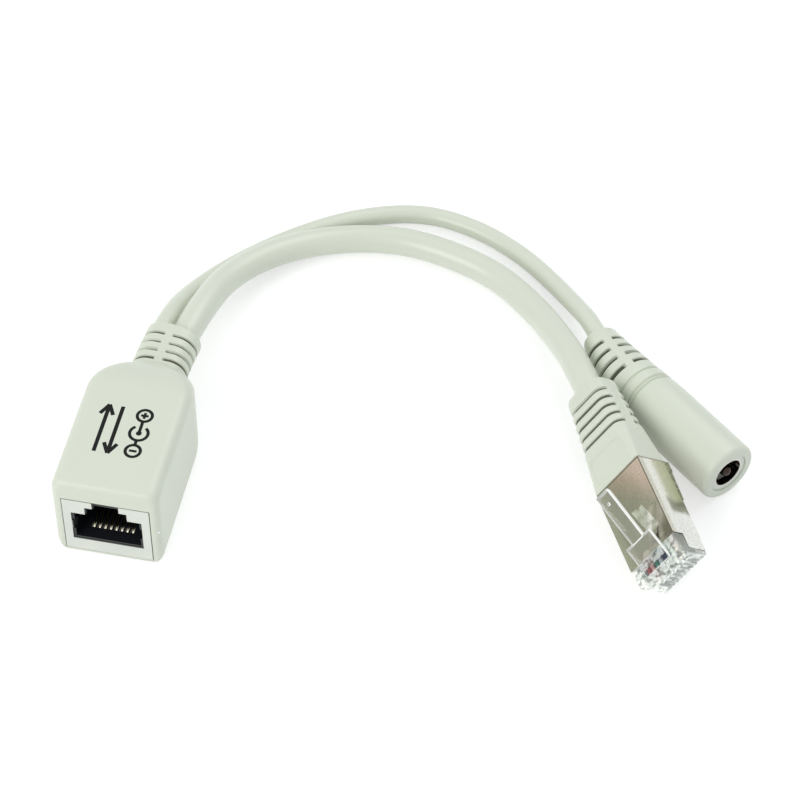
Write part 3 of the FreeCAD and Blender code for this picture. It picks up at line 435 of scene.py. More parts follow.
def finish_mesh(name, mesh, material):
    """Turns the faces outwards, shades them smooth but for real edges, and makes the object."""
    work = bmesh.new()
    work.from_mesh(mesh)
    bmesh.ops.recalc_face_normals(work, faces=work.faces)
    work.to_mesh(mesh)
    work.free()
    mesh.polygons.foreach_set("use_smooth", np.ones(len(mesh.polygons), bool))
    mesh.set_sharp_from_angle(angle=math.radians(CREASE))
    mesh.materials.append(material)
    piece = bpy.data.objects.new(name, mesh)
    bpy.context.scene.collection.objects.link(piece)
    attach(piece, "root")
    return piece


def rounded_ring(corner=14, top=28, side=6):
    """A rectangle with round corners as arrays: (a, b) says towards which corner a point lies, from -1
    to 1, and (c, s) is its outward normal. A point is (a (w - r) + c r, b (h - r) + s r)."""
    parts = []
    for number in range(4):
        turn = number * math.pi / 2 + span(0, math.pi / 2, corner, stop=False)
        middle = (number + 0.5) * math.pi / 2
        a, b = math.copysign(1, math.cos(middle)), math.copysign(1, math.sin(middle))
        parts.append(np.stack([np.full(corner, a), np.full(corner, b), np.cos(turn), np.sin(turn)]))
        count = side if number % 2 else top
        slide = span(1, -1, count, stop=False)
        end = (number + 1) * math.pi / 2
        flat = np.stack([np.full(count, a), np.full(count, b), np.full(count, math.cos(end)),
                         np.full(count, math.sin(end))])
        flat[number % 2] = slide * (a if number % 2 == 0 else b)
        parts.append(flat)
    return np.concatenate(parts, axis=1)


def skin(ring, half_width, half_height, radius, centre, across, up, inset=0.0):
    """Carries a rounded ring through stations. The sizes have one value for each station, centre,
    across and up one vector, and inset moves points in along their normals."""
    a, b, c, s = ring
    radius = radius[:, None]
    x = a * (half_width[:, None] - radius) + c * (radius - inset)
    z = b * (half_height[:, None] - radius) + s * (radius - inset)
    return centre[:, None] + x[..., None] * across[:, None] + z[..., None] * up[:, None]


def ring_reach(ring, axis, half_size, radius):
    """How far out each point of each station's ring lies: sideways for axis 0, upwards for axis 1."""
    return ring[axis] * (half_size[:, None] - radius[:, None]) + ring[axis + 2] * radius[:, None]


# Jack housing

HOUSING_WIDTH, HOUSING_HEIGHT = 19.6, 18.5
SHOULDER_START, NECK_START = 12.0, 22.2
SIDE_SHOULDER, TOP_SHOULDER = 14.0, 14.5
LONG_EDGE, SHOULDER_END_EDGE, FRONT_EDGE, UNDER_EDGE = 2.2, 4.8, 1.4, 0.4
NECK_WIDTH, NECK_HEIGHT, NECK_LENGTH, NECK_BEND = 10.6, 7.4, 11.6, 8.0
SLOT_WIDTH, SLOT_DEPTH, SLOT_BRIDGE = 0.5, 0.9, 1.7
NECK_SLOTS = 2.4 + 2.05 * np.arange(4)
NECK_LIP, NECK_FILLET = 0.9, 0.35
POCKET_GAP, POCKET_DEPTH, POCKET_EDGE = 0.13, 16.0, 0.05
GRID_STEP = 0.09
SLOT_EDGE, BRIDGE_LEFT = 0.28, 0.07


def slot_field(distance, places, width=SLOT_WIDTH):
    """1 inside the slots along a boot, 0 between them."""
    return sum(band(distance, spot, width, SLOT_EDGE) for spot in places)


def shade_slots(piece, slots, first_row=0):
    """Gives the faces that lie deep in the slots a darker material: a face does where the mean of the
    slot field at its four corners is over a half."""
    mean = (slots[:-1] + slots[1:] + np.roll(slots, -1, 1)[:-1] + np.roll(slots, -1, 1)[1:]) / 4
    index = np.zeros(len(piece.data.polygons), int)
    start = first_row * slots.shape[1]
    index[start:start + mean.size] = mean.ravel() > 0.5
    piece.data.materials.append(SLOT_SHADE)
    piece.data.polygons.foreach_set("material_index", index)


def along_bend(distance, length, turn, side):
    """A level bend that starts at the origin along +Y: the place and the across vector at each
    distance. Past its length the line runs straight on. The radius is length / turn."""
    radius = length / math.radians(turn)
    angle = np.clip(distance, 0, length) / radius
    over = np.maximum(distance - length, 0)
    x = side * (radius * (1 - np.cos(angle)) + over * np.sin(angle))
    y = radius * np.sin(angle) + over * np.cos(angle) + np.minimum(distance, 0)
    zero = np.zeros_like(x)
    across = np.stack([np.cos(angle), -side * np.sin(angle), zero], axis=-1)
    return np.stack([x, y, zero], axis=-1), across


def make_housing():
    """The housing is one skin: the pocket that holds the jack, the front face, a quarter round edge
    that is sharper underneath, the straight sides, a shoulder that follows two circles, and the bent
    oval neck whose slots are insets of its ring."""
    ring = rounded_ring()
    shield_low, shield_high = (np.array(corner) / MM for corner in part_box("jack_shield"))
    pocket_w = (shield_high[0] - shield_low[0]) / 2 + POCKET_GAP
    pocket_h = (shield_high[2] - shield_low[2]) / 2 + POCKET_GAP
    pocket_z = (shield_high[2] + shield_low[2]) / 2
    w, h = HOUSING_WIDTH / 2, HOUSING_HEIGHT / 2
    middle = h
    turn = span(0, math.pi / 2, 9)[:, None]
    edge = UNDER_EDGE + (FRONT_EDGE - UNDER_EDGE) * smooth(-1.0, -0.3, ring[3])
    edge_in = np.concatenate([[edge + POCKET_EDGE], edge * (1 - np.sin(turn))])
    edge_back = np.concatenate([[0 * edge], edge * (1 - np.cos(turn))])
    run = span(0, 1, 26)
    shoulder = run * (NECK_START - SHOULDER_START)
    side_in = SIDE_SHOULDER - np.sqrt(SIDE_SHOULDER**2 - shoulder**2)
    top_in = TOP_SHOULDER - np.sqrt(TOP_SHOULDER**2 - shoulder**2)
    end_h = h - top_in[-1]
    fall = span(0, math.pi / 2, 5)[1:]
    step_h = end_h - (end_h - NECK_HEIGHT / 2) * np.sin(fall)
    neck = np.arange(NECK_FILLET, NECK_LENGTH - NECK_LIP, GRID_STEP)
    close = span(0, math.pi / 2, 8)
    end_in = NECK_LIP * (1 - np.cos(close))
    straight = span(FRONT_EDGE, SHOULDER_START - FRONT, 7)[1:-1]
    bent, even, rest = len(edge_in), len(straight), len(neck) + len(close)
    segments = [
        # half width, half height, corner radius, distance from the front plane, middle height
        ([pocket_w] * 2, [pocket_h] * 2, [0.12] * 2, [POCKET_DEPTH, POCKET_EDGE], [pocket_z] * 2),
        ([pocket_w + POCKET_EDGE], [pocket_h + POCKET_EDGE], [0.15], [0.0], [pocket_z]),
        ([w] * bent, [h] * bent, [LONG_EDGE] * bent, [0.0] * bent, [middle] * bent),
        ([w] * even, [h] * even, [LONG_EDGE] * even, straight, [middle] * even),
        (w - side_in, h - top_in, LONG_EDGE + (SHOULDER_END_EDGE - LONG_EDGE) * run**1.5,
         SHOULDER_START - FRONT + shoulder, np.full_like(run, middle)),
    ]
    half_w, half_h, radius, reach, height = (
        np.concatenate([np.asarray(column, float) for column in columns]) for columns in zip(*segments))
    centre = np.stack([np.zeros_like(reach), FRONT + reach, height], axis=-1)
    across = np.tile([1.0, 0.0, 0.0], (len(reach), 1))
    up = np.tile([0.0, 0.0, 1.0], (len(reach), 1))
    inset = np.zeros((len(reach), ring.shape[1]))
    edge_rows = slice(3, 3 + bent)
    inset[edge_rows] = edge_in
    body = skin(ring, half_w, half_h, radius, centre, across, up, inset)
    body[edge_rows, :, 1] += edge_back

    distance = np.concatenate([NECK_FILLET * (1 - np.cos(fall)), neck,
                               NECK_LENGTH - NECK_LIP + NECK_LIP * np.sin(close)])
    inset = np.concatenate([np.zeros_like(fall), np.zeros_like(neck), end_in])
    half_h = np.concatenate([step_h, np.full(rest, NECK_HEIGHT / 2)])
    half_w = np.full_like(half_h, NECK_WIDTH / 2)
    oval = NECK_HEIGHT / 2 * 0.97
    radius = np.concatenate([span(SHOULDER_END_EDGE, oval, 5)[1:], np.full(rest, oval)])
    radius = np.minimum(radius, half_h * 0.98)
    bridge = band(ring_reach(ring, 0, half_w, radius), 0.0, SLOT_BRIDGE, 0.15)
    slots = slot_field(distance, NECK_SLOTS)[:, None] * (1 - (1 - BRIDGE_LEFT) * bridge)
    place_on, across = along_bend(distance, NECK_LENGTH, NECK_BEND, 1)
    centre = place_on + [0.0, NECK_START, middle]
    up = np.tile([0.0, 0.0, 1.0], (len(distance), 1))
    neck_skin = skin(ring, half_w, half_h, radius, centre, across, up, SLOT_DEPTH * slots + inset[:, None])
    piece = lay_mesh("housing", np.concatenate([body, neck_skin]), SOFT_MOULDING)
    shade_slots(piece, slots, len(body))
    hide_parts("jack_housing")
    return piece


NIB_RADIUS, NIB_HEIGHT = 0.3, 8.7


def make_nib():
    """The small nib that the mould leaves on the rounded edge between the front and the right side: a
    ball by its latitude and longitude, with small flat poles, painted paler than the moulding as a painted
    highlight."""
    rise, turn = span(-1.4, 1.4, 9)[:, None], span(0, 2 * math.pi, 16, stop=False)
    level = np.cos(rise)
    ball = np.stack([level * np.cos(turn), level * np.sin(turn), np.sin(rise) + 0 * turn], axis=-1)
    on_edge = FRONT_EDGE * math.sqrt(0.5)
    centre = [HOUSING_WIDTH / 2 - FRONT_EDGE + on_edge, FRONT + FRONT_EDGE - on_edge, NIB_HEIGHT]
    return lay_mesh("moulding_nib", np.array(centre) + NIB_RADIUS * ball, WHITE_PAINTED_LIGHT)


# Prints on the housing: a pair of arrows for data and the mark of a centre-positive barrel for power

PRINT_LIFT, PRINT_DEEP, PRINT_STEP, STROKE = 0.02, 0.15, 0.001, 0.72
PRINT_START, PRINT_END = -3.6, 7.4
ARROWS = ((-4.0, 1), (-1.5, -1))
HEAD_WIDTH, HEAD_LENGTH, HEAD_REACH = 1.2, 2.3, 0.3
BARREL_MARK, RING_RADIUS, CUP_RADIUS, DOT_RADIUS, SIGN_REACH = 2.8, 1.35, 1.65, 0.28, 0.7


def strip(points, width, lift):
    """A flat ribbon along a polyline: the points move sideways by half the width along the mean of
    their two normals, and the ribbon's section is a rectangle that reaches into the surface."""
    points = np.asarray(points, float)
    along = np.gradient(points, axis=0)
    along /= np.linalg.norm(along, axis=1, keepdims=True)
    normal = np.stack([-along[:, 1], along[:, 0]], axis=-1) * width / 2
    high, low = HOUSING_HEIGHT + lift, HOUSING_HEIGHT - PRINT_DEEP
    rows = [np.column_stack([points + normal * side, np.full(len(points), level)])
            for side, level in ((1, high), (-1, high), (-1, low), (1, low))]
    return np.stack(rows, axis=1)


def circle_line(centre, radius, count=33):
    """A closed circle as a polyline."""
    turn = span(0, 2 * math.pi, count)
    return np.asarray(centre) + radius * np.stack([np.cos(turn), np.sin(turn)], axis=-1)


def make_print(name, lines):
    """One print: its ribbons laid as one object, each a hair lower than the one before."""
    pieces = []
    for number, (points, width) in enumerate(lines):
        ribbon = strip(points, width, PRINT_LIFT - PRINT_STEP * number)
        pieces.append(lay_mesh(f"{name}_{number}", ribbon, PRINT))
    with bpy.context.temp_override(active_object=pieces[0], selected_editable_objects=pieces):
        bpy.ops.object.join()
    pieces[0].name = name


def make_prints():
    """The data print is two opposite arrows, and the power print is minus, ring, dot, ring, plus."""
    lines = []
    for x, way in ARROWS:
        tail, tip = (PRINT_START, PRINT_END) if way > 0 else (PRINT_END, PRINT_START)
        lines.append(([(x, tail), (x, (tail + tip) / 2), (x, tip - way * HEAD_REACH)], STROKE))
        for side in (-1, 1):
            wide, long = side * HEAD_WIDTH, way * HEAD_LENGTH
            lines.append(([(x, tip), (x + wide / 2, tip - long / 2), (x + wide, tip - long)], STROKE))
    make_print("data_print", lines)
    x, small, large, sign = BARREL_MARK, RING_RADIUS, CUP_RADIUS, SIGN_REACH
    low, mid, high = PRINT_START + small, (PRINT_START + PRINT_END) / 2, PRINT_END - small
    open_turn = np.radians(span(-235, 55, 29))
    cup = np.stack([x + large * np.cos(open_turn), mid + large * np.sin(open_turn)], axis=-1)
    thin = STROKE * 0.8
    make_print("power_print", [
        (circle_line((x, low), small), thin), (circle_line((x, high), small), thin), (cup, thin),
        (circle_line((x, mid), DOT_RADIUS, 17), 0.5),
        ([(x, low + small), (x, mid - large / 2 - small / 2), (x, mid - large)], thin),
        ([(x, mid + 0.3), (x, mid + 1.4), (x, high - small)], thin),
        ([(x - sign, low), (x, low), (x + sign, low)], thin * 0.9),
        ([(x - sign, high), (x, high), (x + sign, high)], thin * 0.9),
        ([(x, high - sign), (x, high), (x, high + sign)], thin * 0.9),
    ])


# Plug

PLUG_BOOT_LENGTH = 21.0
PLUG_BOOT_SLOTS = -PLUG_BOOT_LENGTH + 3.4 + 2.06 * np.arange(5)
PLUG_SLOT_DEPTH, VALLEY_DEPTH, PANEL_DEPTH, RIDGE_HEIGHT = 0.6, 0.22, 0.22, 0.25
PLUG_BRIDGE_PLACE, PLUG_BRIDGE = 0.2, 1.9
PANEL_WIDTH, PANEL_PLACE, PANEL_LENGTH = 8.8, -3.65, 5.3
PLUG_BOOT_LIP, PLUG_BOOT_CHAMFER, PLUG_VALLEY_HALF = 1.3, 0.12, 1.03
PLUG_BOOT_HALF_WIDTH, PLUG_BOOT_NARROWING = 6.0, 1.4
PLUG_BOOT_HALF_HEIGHTS, PLUG_BOOT_EDGES = (3.4, 3.8), (2.5, 2.3, 0.6)
RIDGE_PLACE, RIDGE_SLOPE, RIDGE_WIDTH, RIDGE_MIDDLE, RIDGE_LENGTH = 0.52, 0.074, 0.14, -13.3, 12.0


def in_plug(points):
    """Points of the plug's own frame in the part's frame."""
    return points @ PLUG_TURN.T + PLUG_ORIGIN


def make_plug_boot():
    """The boot is a skin along the plug's axis: rounded at the cable, and almost sharp-edged at the
    shield. Five slots, each at the bottom of a shallow cosine valley, run round it but for a bridge at
    the middle of each narrow side, where a thin parting ridge with a bell-shaped section runs across
    them, and the latch face has a shallow panel."""
    ring = rounded_ring(corner=22, top=52, side=30)
    length, lip, chamfer = PLUG_BOOT_LENGTH, PLUG_BOOT_LIP, PLUG_BOOT_CHAMFER
    close = span(math.pi / 2, 0, 9)
    body = np.arange(-length + lip, -chamfer, GRID_STEP)
    y = np.concatenate([-length + lip - lip * np.sin(close), body[1:], [-chamfer, 0.0]])
    end_in = np.concatenate([lip * (1 - np.cos(close)), np.zeros(len(body) - 1), [0.0, chamfer]])
    stations = np.array([-length, PLUG_BOOT_SLOTS[-1], 0.0])
    half_w = np.interp(y, stations, PLUG_BOOT_HALF_WIDTH - PLUG_BOOT_NARROWING * (-stations / length) ** 1.6)
    half_h = np.interp(y, (-length, 0.0), PLUG_BOOT_HALF_HEIGHTS)
    radius = np.interp(y, stations, PLUG_BOOT_EDGES)
    x, z = ring_reach(ring, 0, half_w, radius), ring_reach(ring, 1, half_h, radius)
    slots = slot_field(y, PLUG_BOOT_SLOTS)[:, None] * (1 - band(z, PLUG_BRIDGE_PLACE, PLUG_BRIDGE, 0.4))
    ridge_z = RIDGE_PLACE + RIDGE_SLOPE * y[:, None]
    ridge = np.exp(-((z - ridge_z) / RIDGE_WIDTH) ** 2) * band(y, RIDGE_MIDDLE, RIDGE_LENGTH, 0.4)[:, None]
    panel = (ring[3] > 0.999) * band(x, 0.0, PANEL_WIDTH, 0.15)
    panel = panel * band(y, PANEL_PLACE, PANEL_LENGTH, 0.15)[:, None]
    valley = sum(np.cos(np.clip((y - spot) / PLUG_VALLEY_HALF, -1, 1) * math.pi / 2) ** 2
                 for spot in PLUG_BOOT_SLOTS)
    valley = valley[:, None] * (1 - band(z, PLUG_BRIDGE_PLACE, PLUG_BRIDGE, 0.6))
    inset = (PLUG_SLOT_DEPTH * slots + VALLEY_DEPTH * valley) * (1 - ridge)
    inset += PANEL_DEPTH * panel - RIDGE_HEIGHT * ridge + end_in[:, None]
    centre = np.stack([np.zeros_like(y), y, np.zeros_like(y)], axis=-1)
    across = np.tile([1.0, 0.0, 0.0], (len(y), 1))
    up = np.tile([0.0, 0.0, 1.0], (len(y), 1))
    grid = in_plug(skin(ring, half_w, half_h, radius, centre, across, up, inset))
    piece = lay_mesh("ribbed_plug_boot", grid, SOFT_MOULDING)
    shade_slots(piece, slots)
    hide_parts("plug_boot")
    return piece


# DC socket

SOCKET_PLACE, SOCKET_HEADING = (77.95, 52.2), -60.0
SOCKET_RADIUS, SOCKET_LENGTH = 5.85, 24.7
BOOT_LENGTH, BOOT_BEND, BOOT_ROOT, BOOT_END = 15.0, 19.0, 5.45, 3.25
BARREL_ROOT, BARREL_TAPER = 5.55, 6.5
BOOT_SLOTS = 3.9 + 2.58 * np.arange(4)
BOOT_SLOT_WIDTH, BOOT_SLOT_DEPTH, BOOT_BRIDGE, BRIDGE_TURN = 0.7, 1.1, 1.9, 4.0
GROOVES, GROOVE_WIDTH, GROOVE_DEPTH, FINE_END = (-0.4, 2.0, 2.75), 0.4, 0.40, 18.0
INSERT_RADIUS, INSERT_DEPTH = 3.95, 12.0


def socket_radius(distance):
    """The moulding's radius: the boot's grows as a quarter sine from its end to its root, and the
    barrel's grows evenly along its taper."""
    share = np.clip(distance / BOOT_LENGTH, 0, 1)
    boot = BOOT_END + (BOOT_ROOT - BOOT_END) * np.sin(share * math.pi / 2)
    taper = np.clip((distance - BOOT_LENGTH) / BARREL_TAPER, 0, 1)
    return np.where(distance < BOOT_LENGTH, boot, BARREL_ROOT + (SOCKET_RADIUS - BARREL_ROOT) * taper)


def make_socket():
    """The socket's moulding is a turned profile carried along its bent axis: the boot with four slots
    on each side of a bridge, three ring grooves, the barrel, the rounded rim and the pocket for the
    insert."""
    turn = span(0, 2 * math.pi, 144, stop=False)
    lip, rim = 0.9, 0.9
    mouth = BOOT_LENGTH + SOCKET_LENGTH
    close, rim_turn = span(math.pi / 2, 0, 8), span(0, math.pi / 2, 9)
    distance = np.concatenate([
        lip - lip * np.sin(close), np.arange(lip, FINE_END, GRID_STEP)[1:], span(FINE_END, mouth - rim, 36),
        mouth - rim + rim * np.sin(rim_turn)[1:], [mouth, mouth - 0.08, mouth - INSERT_DEPTH]])
    radius = socket_radius(distance)
    radius[:len(close)] = socket_radius(lip) - lip * (1 - np.cos(close))
    radius[-len(rim_turn) - 2:-3] -= rim * (1 - np.cos(rim_turn))[1:]
    radius[-3:] = INSERT_RADIUS + np.array([0.12, 0.04, 0.04])
    bridge = band(radius[:, None] * np.cos(turn + math.radians(BRIDGE_TURN)), 0.0, BOOT_BRIDGE, 0.35)
    slots = slot_field(distance, BOOT_SLOTS, BOOT_SLOT_WIDTH)[:, None] * (1 - (1 - BRIDGE_LEFT) * bridge)
    groove = sum(band(distance, BOOT_LENGTH + place_on, GROOVE_WIDTH, 0.3) for place_on in GROOVES)
    reach = radius[:, None] - BOOT_SLOT_DEPTH * slots - GROOVE_DEPTH * groove[:, None]
    line, across = along_bend(distance, BOOT_LENGTH, BOOT_BEND, -1)
    heading = turn_about(2, SOCKET_HEADING - 90)
    base = np.array([*SOCKET_PLACE, SOCKET_RADIUS])
    line, across = line @ heading.T + base, across @ heading.T
    up = np.array([0.0, 0.0, 1.0])
    grid = line[:, None] + reach[..., None] * (np.cos(turn)[:, None] * across[:, None]
                                               + np.sin(turn)[:, None] * up)
    piece = lay_mesh("socket_moulding", grid, SOFT_MOULDING)
    shade_slots(piece, slots)
    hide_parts("socket_housing")
    return piece


# Clear body of the plug

LATCH_ROOT, LATCH_SHOULDER, LATCH_TIP, LATCH_RISE = 20.2, 14.9, 5.4, 6.35
LATCH_WIDE, LATCH_NARROW, LATCH_THICK = 6.4, 3.2, 0.85
LATCH_EDGE, LATCH_ABOVE, CLEAR_EDGE, NOSE_EDGE = 0.26, 0.4, 0.05, 0.3
SHIELD_END, TONGUE_END, TONGUE_IN, TONGUE_TOP = 17.3, 20.4, 5.7, 1.03
TONGUE_GAP, TONGUE_LEDGE = 0.03, 0.07
CORE_START, CORE_END, CORE_IN, CORE_EDGE = 0.3, 17.5, 0.2, 0.15
SLOT_LENGTH, SLOT_HALF, SLOT_TOP = 6.0, 0.27, -0.2
# Each length of the latch, and the small mark near its tip: start, end, width and thickness
LATCH_PLATES = (
    (LATCH_SHOULDER, LATCH_ROOT + 0.6, LATCH_WIDE, LATCH_THICK),
    (LATCH_TIP, LATCH_SHOULDER + 0.5, LATCH_NARROW, LATCH_THICK + 0.15),
    (LATCH_TIP + 1.9, LATCH_TIP + 2.6, 0.7, LATCH_THICK + 0.3),
)


def block_grid(low, high, edge):
    """A block with round edges along its length, as stations of a rounded ring along Y."""
    ring = rounded_ring(corner=5, top=1, side=1)
    turn = span(0, math.pi / 2, 5)
    ease = edge * (1 - np.sin(turn))
    y = np.concatenate([low[1] + edge * (1 - np.cos(turn)), high[1] - edge * (1 - np.cos(turn[::-1]))])
    inset = np.concatenate([ease, ease[::-1]])
    count = len(y)
    middle_x, middle_z = np.full(count, (low[0] + high[0]) / 2), np.full(count, (low[2] + high[2]) / 2)
    centre = np.stack([middle_x, y, middle_z], axis=-1)
    half_w, half_h = np.full(count, (high[0] - low[0]) / 2), np.full(count, (high[2] - low[2]) / 2)
    across, up = np.tile([1.0, 0.0, 0.0], (count, 1)), np.tile([0.0, 0.0, 1.0], (count, 1))
    return skin(ring, half_w, half_h, np.full(count, edge * 1.01), centre, across, up, inset[:, None])


def sloping_plate(start, end, width, thick):
    """A length of the latch: a rounded strip that rises backwards from the nose."""
    slope = LATCH_RISE / (LATCH_ROOT - LATCH_TIP)
    grid = block_grid((-width / 2, start, 0.0), (width / 2, end, thick), LATCH_EDGE)
    base = PLUG_THICKNESS / 2 - LATCH_ABOVE
    grid[..., 2] += base + (LATCH_ROOT - grid[..., 1]) * slope
    return grid


def boolean(piece, other, operation):
    """Joins or cuts a piece with another and removes the other."""
    modifier = piece.modifiers.new(operation.lower(), "BOOLEAN")
    modifier.operation = operation
    modifier.object = other
    modifier.solver = "EXACT"
    shape = bpy.data.meshes.new_from_object(piece.evaluated_get(bpy.context.evaluated_depsgraph_get()))
    piece.modifiers.clear()
    old = piece.data
    piece.data = shape
    bpy.data.meshes.remove(old)
    bpy.data.objects.remove(other)


def clear_block(name, low, high, edge):
    """A clear block in the plug's own frame."""
    return lay_mesh(name, in_plug(block_grid(low, high, edge)), CLEAR)


def make_clear_body():
    """The clear body: a block inside the shield, a nose as wide as the shield with a step each side for
    the shield's tongues, the latch, and eight contact slots under the nose."""
    w, h, end = PLUG_WIDTH / 2, PLUG_THICKNESS / 2, PLUG_LENGTH
    core = clear_block("clear_plug_body", (-w + CORE_IN, CORE_START, -h + CORE_IN),
                       (w - CORE_IN, CORE_END, h - CORE_IN), CORE_EDGE)
    boolean(core, clear_block("nose", (-w, SHIELD_END + 0.05, -h), (w, end, h), NOSE_EDGE), "UNION")
    for start, stop, width, thick in LATCH_PLATES:
        plate = lay_mesh("plate", in_plug(sloping_plate(start, stop, width, thick)), CLEAR)
        boolean(core, plate, "UNION")
    for number in range(CONTACTS):
        x = (number - (CONTACTS - 1) / 2) * CONTACT_PITCH
        slot = clear_block("slot", (x - SLOT_HALF, end - SLOT_LENGTH, -h - 1),
                           (x + SLOT_HALF, end + 1, SLOT_TOP), CLEAR_EDGE)
        boolean(core, slot, "DIFFERENCE")
    for low, high in ((-w - 1, -TONGUE_IN + TONGUE_GAP), (TONGUE_IN - TONGUE_GAP, w + 1)):
        step = clear_block("step", (low, SHIELD_END - 1, -h + TONGUE_LEDGE),
                           (high, TONGUE_END + TONGUE_GAP, TONGUE_TOP), CLEAR_EDGE)
        boolean(core, step, "DIFFERENCE")
    paint_light_on_clear_body(core)
    core.data.set_sharp_from_angle(angle=math.radians(30))
    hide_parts("plug_body")
    return core


def paint_light_on_clear_body(piece):
    """Gives the clear body's faces their materials by where they lie in the plug: the nose beyond the shield
    with its painted light, the narrow sides of the latch painted white as a painted highlight, and the core
    inside the shield painted pale as painted light. The latch's broad faces and the walls of the contacts'
    slots stay plain clear."""
    plain, in_nose, on_rim, in_core = range(4)
    for material in (NOSE_CLEAR_PAINTED_LIGHT, LATCH_EDGE_PAINTED_HIGHLIGHT, WHITE_PAINTED_LIGHT):
        piece.data.materials.append(material)
    count = len(piece.data.polygons)
    centre, normal = np.empty(count * 3), np.empty(count * 3)
    piece.data.polygons.foreach_get("center", centre)
    piece.data.polygons.foreach_get("normal", normal)
    centre = (centre.reshape(-1, 3) / MM - PLUG_ORIGIN) @ PLUG_TURN
    normal = normal.reshape(-1, 3) @ PLUG_TURN
    latch = centre[:, 2] > PLUG_THICKNESS / 2 + 0.1
    nose = ~latch & (centre[:, 1] > SHIELD_END - 0.2)
    slope = math.atan(LATCH_RISE / (LATCH_ROOT - LATCH_TIP))
    flat = np.abs(normal @ [0.0, math.sin(slope), math.cos(slope)]) > 0.97
    slot_wall = (np.abs(normal[:, 0]) > 0.9) & (np.abs(centre[:, 0]) < CONTACTS / 2 * CONTACT_PITCH)
    nose &= ~slot_wall
    core = ~latch & ~nose & (np.abs(centre[:, 2]) < PLUG_THICKNESS / 2)
    index = np.select([latch & ~flat, nose, core], [on_rim, in_nose, in_core], plain)
    piece.data.polygons.foreach_set("material_index", index.astype(int))


# Leads

DATA_ROUTE = [
    (1.75, 18.0, 9.25), (1.75, 29.0, 9.25), (3.6, 42.0, 9.1), (6.2, 54.0, 6.4), (13.5, 64.3, 4.1),
    (24.0, 70.8, 2.7), (36.0, 72.8, 2.7), (47.0, 70.6, 2.7), (56.5, 66.6, 2.7), (64.5, 59.8, 2.7),
    (70.3, 51.2, 5.6), (75.6, 41.448, 9.179), (81.059, 31.915, 8.603),
]
POWER_ROUTE = [
    (-2.85, 18.0, 9.25), (-2.85, 29.0, 9.25), (-1.8, 39.5, 9.0), (-0.9, 49.5, 3.9), (4.3, 59.8, 1.8),
    (13.5, 69.3, 1.8), (25.0, 77.6, 1.8), (38.0, 81.8, 1.8), (49.5, 79.6, 1.8), (59.5, 74.2, 1.8),
    (66.8, 68.0, 1.8), (72.1, 61.6, 3.3), (75.85, 55.837, 5.85), (79.25, 49.948, 5.85),
]


def make_lead(name, route, diameter, node):
    """A round lead: one smooth spline whose control points are the route."""
    curve = bpy.data.curves.new(name, "CURVE")
    curve.dimensions = "3D"
    curve.resolution_u = 16
    curve.bevel_depth = diameter / 2 * MM
    curve.bevel_resolution = 12
    curve.use_fill_caps = True
    spline = curve.splines.new("NURBS")
    spline.points.add(len(route) - 1)
    for point, place_at in zip(spline.points, route):
        point.co = (*(value * MM for value in place_at), 1)
    spline.order_u = 3
    spline.use_endpoint_u = True
    curve.materials.append(LEAD_JACKET)
    piece = bpy.data.objects.new(name, curve)
    bpy.context.scene.collection.objects.link(piece)
    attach(piece, "root")
    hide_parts(node)
    return piece


def make_leads():
    """The two leads, the data lead and the thinner power lead."""
    data = make_lead("data_lead", DATA_ROUTE, 5.4, "data_cable")
    power = make_lead("power_lead", POWER_ROUTE, 3.6, "power_cable")


# Stage

CAMERA_PLACE, CAMERA_TURN = (0.11780, -0.32447, 0.42470), (40.81, 0.0, 11.725)
CAMERA_LENS, CAMERA_SENSOR = 135, 36
FLOOR_HALF, FLOOR_LEVEL = 1.5, -0.00002


def make_camera():
    """The camera at the photograph's place, with its long lens."""
    lens = bpy.data.cameras.new("camera")
    lens.lens = CAMERA_LENS
    lens.sensor_width = CAMERA_SENSOR
    camera = bpy.data.objects.new("camera", lens)
    camera.location = CAMERA_PLACE
    camera.rotation_euler = [math.radians(angle) for angle in CAMERA_TURN]
    bpy.context.scene.collection.objects.link(camera)
    bpy.context.scene.camera = camera


def seen_share(tree):
    """1 for what the camera, a reflection or a look through clear plastic sees, 0 for other light."""
    rays = place(tree, "ShaderNodeLightPath").outputs
    seen = place(tree, "ShaderNodeMath", {0: rays["Is Camera Ray"], 1: rays["Is Glossy Ray"]},
                 operation="MAXIMUM").outputs[0]
    return place(tree, "ShaderNodeMath", {0: seen, 1: rays["Is Transmission Ray"]},
                 operation="MAXIMUM").outputs[0]


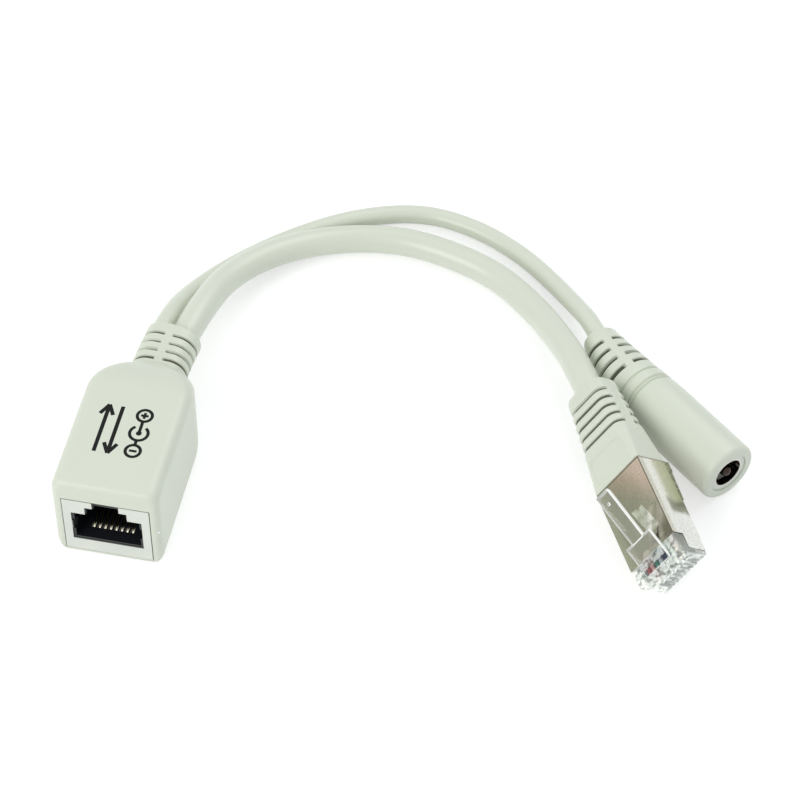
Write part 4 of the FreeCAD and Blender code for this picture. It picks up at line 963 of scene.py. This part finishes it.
def make_floor():
    """A white floor that shows the camera almost pure white and keeps a faint shadow."""
    material = bpy.data.materials.new("white floor")
    material.use_nodes = True
    tree = material.node_tree
    shader = tree.nodes["Principled BSDF"]
    shader.inputs["Roughness"].default_value = 0.9
    shader.inputs["Emission Color"].default_value = (1, 1, 1, 1)
    seen = seen_share(tree)
    base = place(tree, "ShaderNodeMix", {"Factor": seen, "A": (0.9, 0.9, 0.9, 1), "B": (0.6, 0.6, 0.6, 1)},
                 data_type="RGBA")
    glow = place(tree, "ShaderNodeMath", {0: seen, 1: 0.55}, operation="MULTIPLY")
    tree.links.new(base.outputs["Result"], shader.inputs["Base Color"])
    tree.links.new(glow.outputs[0], shader.inputs["Emission Strength"])
    corners = [(-1, -1), (1, -1), (1, 1), (-1, 1)]
    mesh = bpy.data.meshes.new("floor")
    mesh.from_pydata([(x * FLOOR_HALF, y * FLOOR_HALF, FLOOR_LEVEL) for x, y in corners], [], [(0, 1, 2, 3)])
    mesh.materials.append(material)
    floor = bpy.data.objects.new("floor", mesh)
    bpy.context.scene.collection.objects.link(floor)


def make_light(name, place_at, aim, size, power, colour):
    """A square area lamp that points at a place."""
    lamp = bpy.data.lights.new(name, "AREA")
    lamp.size = size
    lamp.energy = power
    lamp.color = colour
    light = bpy.data.objects.new(name, lamp)
    light.location = place_at
    way = np.asarray(aim) - np.asarray(place_at)
    light.rotation_euler = (math.atan2(math.hypot(way[0], way[1]), -way[2]), 0,
                            math.atan2(way[1], way[0]) - math.pi / 2)
    bpy.context.scene.collection.objects.link(light)


def make_stage():
    """White surroundings, a broad lamp above the front left and a weaker one at the back right."""
    world = bpy.data.worlds.new("white room")
    world.use_nodes = True
    tree = world.node_tree
    back = tree.nodes["Background"]
    seen = seen_share(tree)
    level = place(tree, "ShaderNodeMapRange", {"Value": seen, "To Min": 0.66, "To Max": 1.0})
    tree.links.new(level.outputs[0], back.inputs["Strength"])
    colour = place(tree, "ShaderNodeMix", {"Factor": seen, "A": (0.93, 0.97, 1, 1), "B": (1, 1, 1, 1)},
                   data_type="RGBA")
    tree.links.new(colour.outputs["Result"], back.inputs["Color"])
    bpy.context.scene.world = world
    middle = (0.05, 0.03, 0.0)
    make_light("front left", (-0.33, -0.43, 0.43), middle, 0.45, 1.95, (1.0, 0.99, 0.96))
    make_light("back right", (0.26, 0.42, 0.60), middle, 0.5, 1.4, (0.97, 1.0, 0.96))
    bpy.context.scene.view_settings.view_transform = "Standard"


def main():
    """Builds the scene round the frame."""
    make_camera()
    make_stage()
    make_floor()
    dress_nodes()
    make_housing()
    make_nib()
    make_prints()
    boot = make_plug_boot()
    socket = make_socket()
    clear = make_clear_body()
    make_leads()


main()
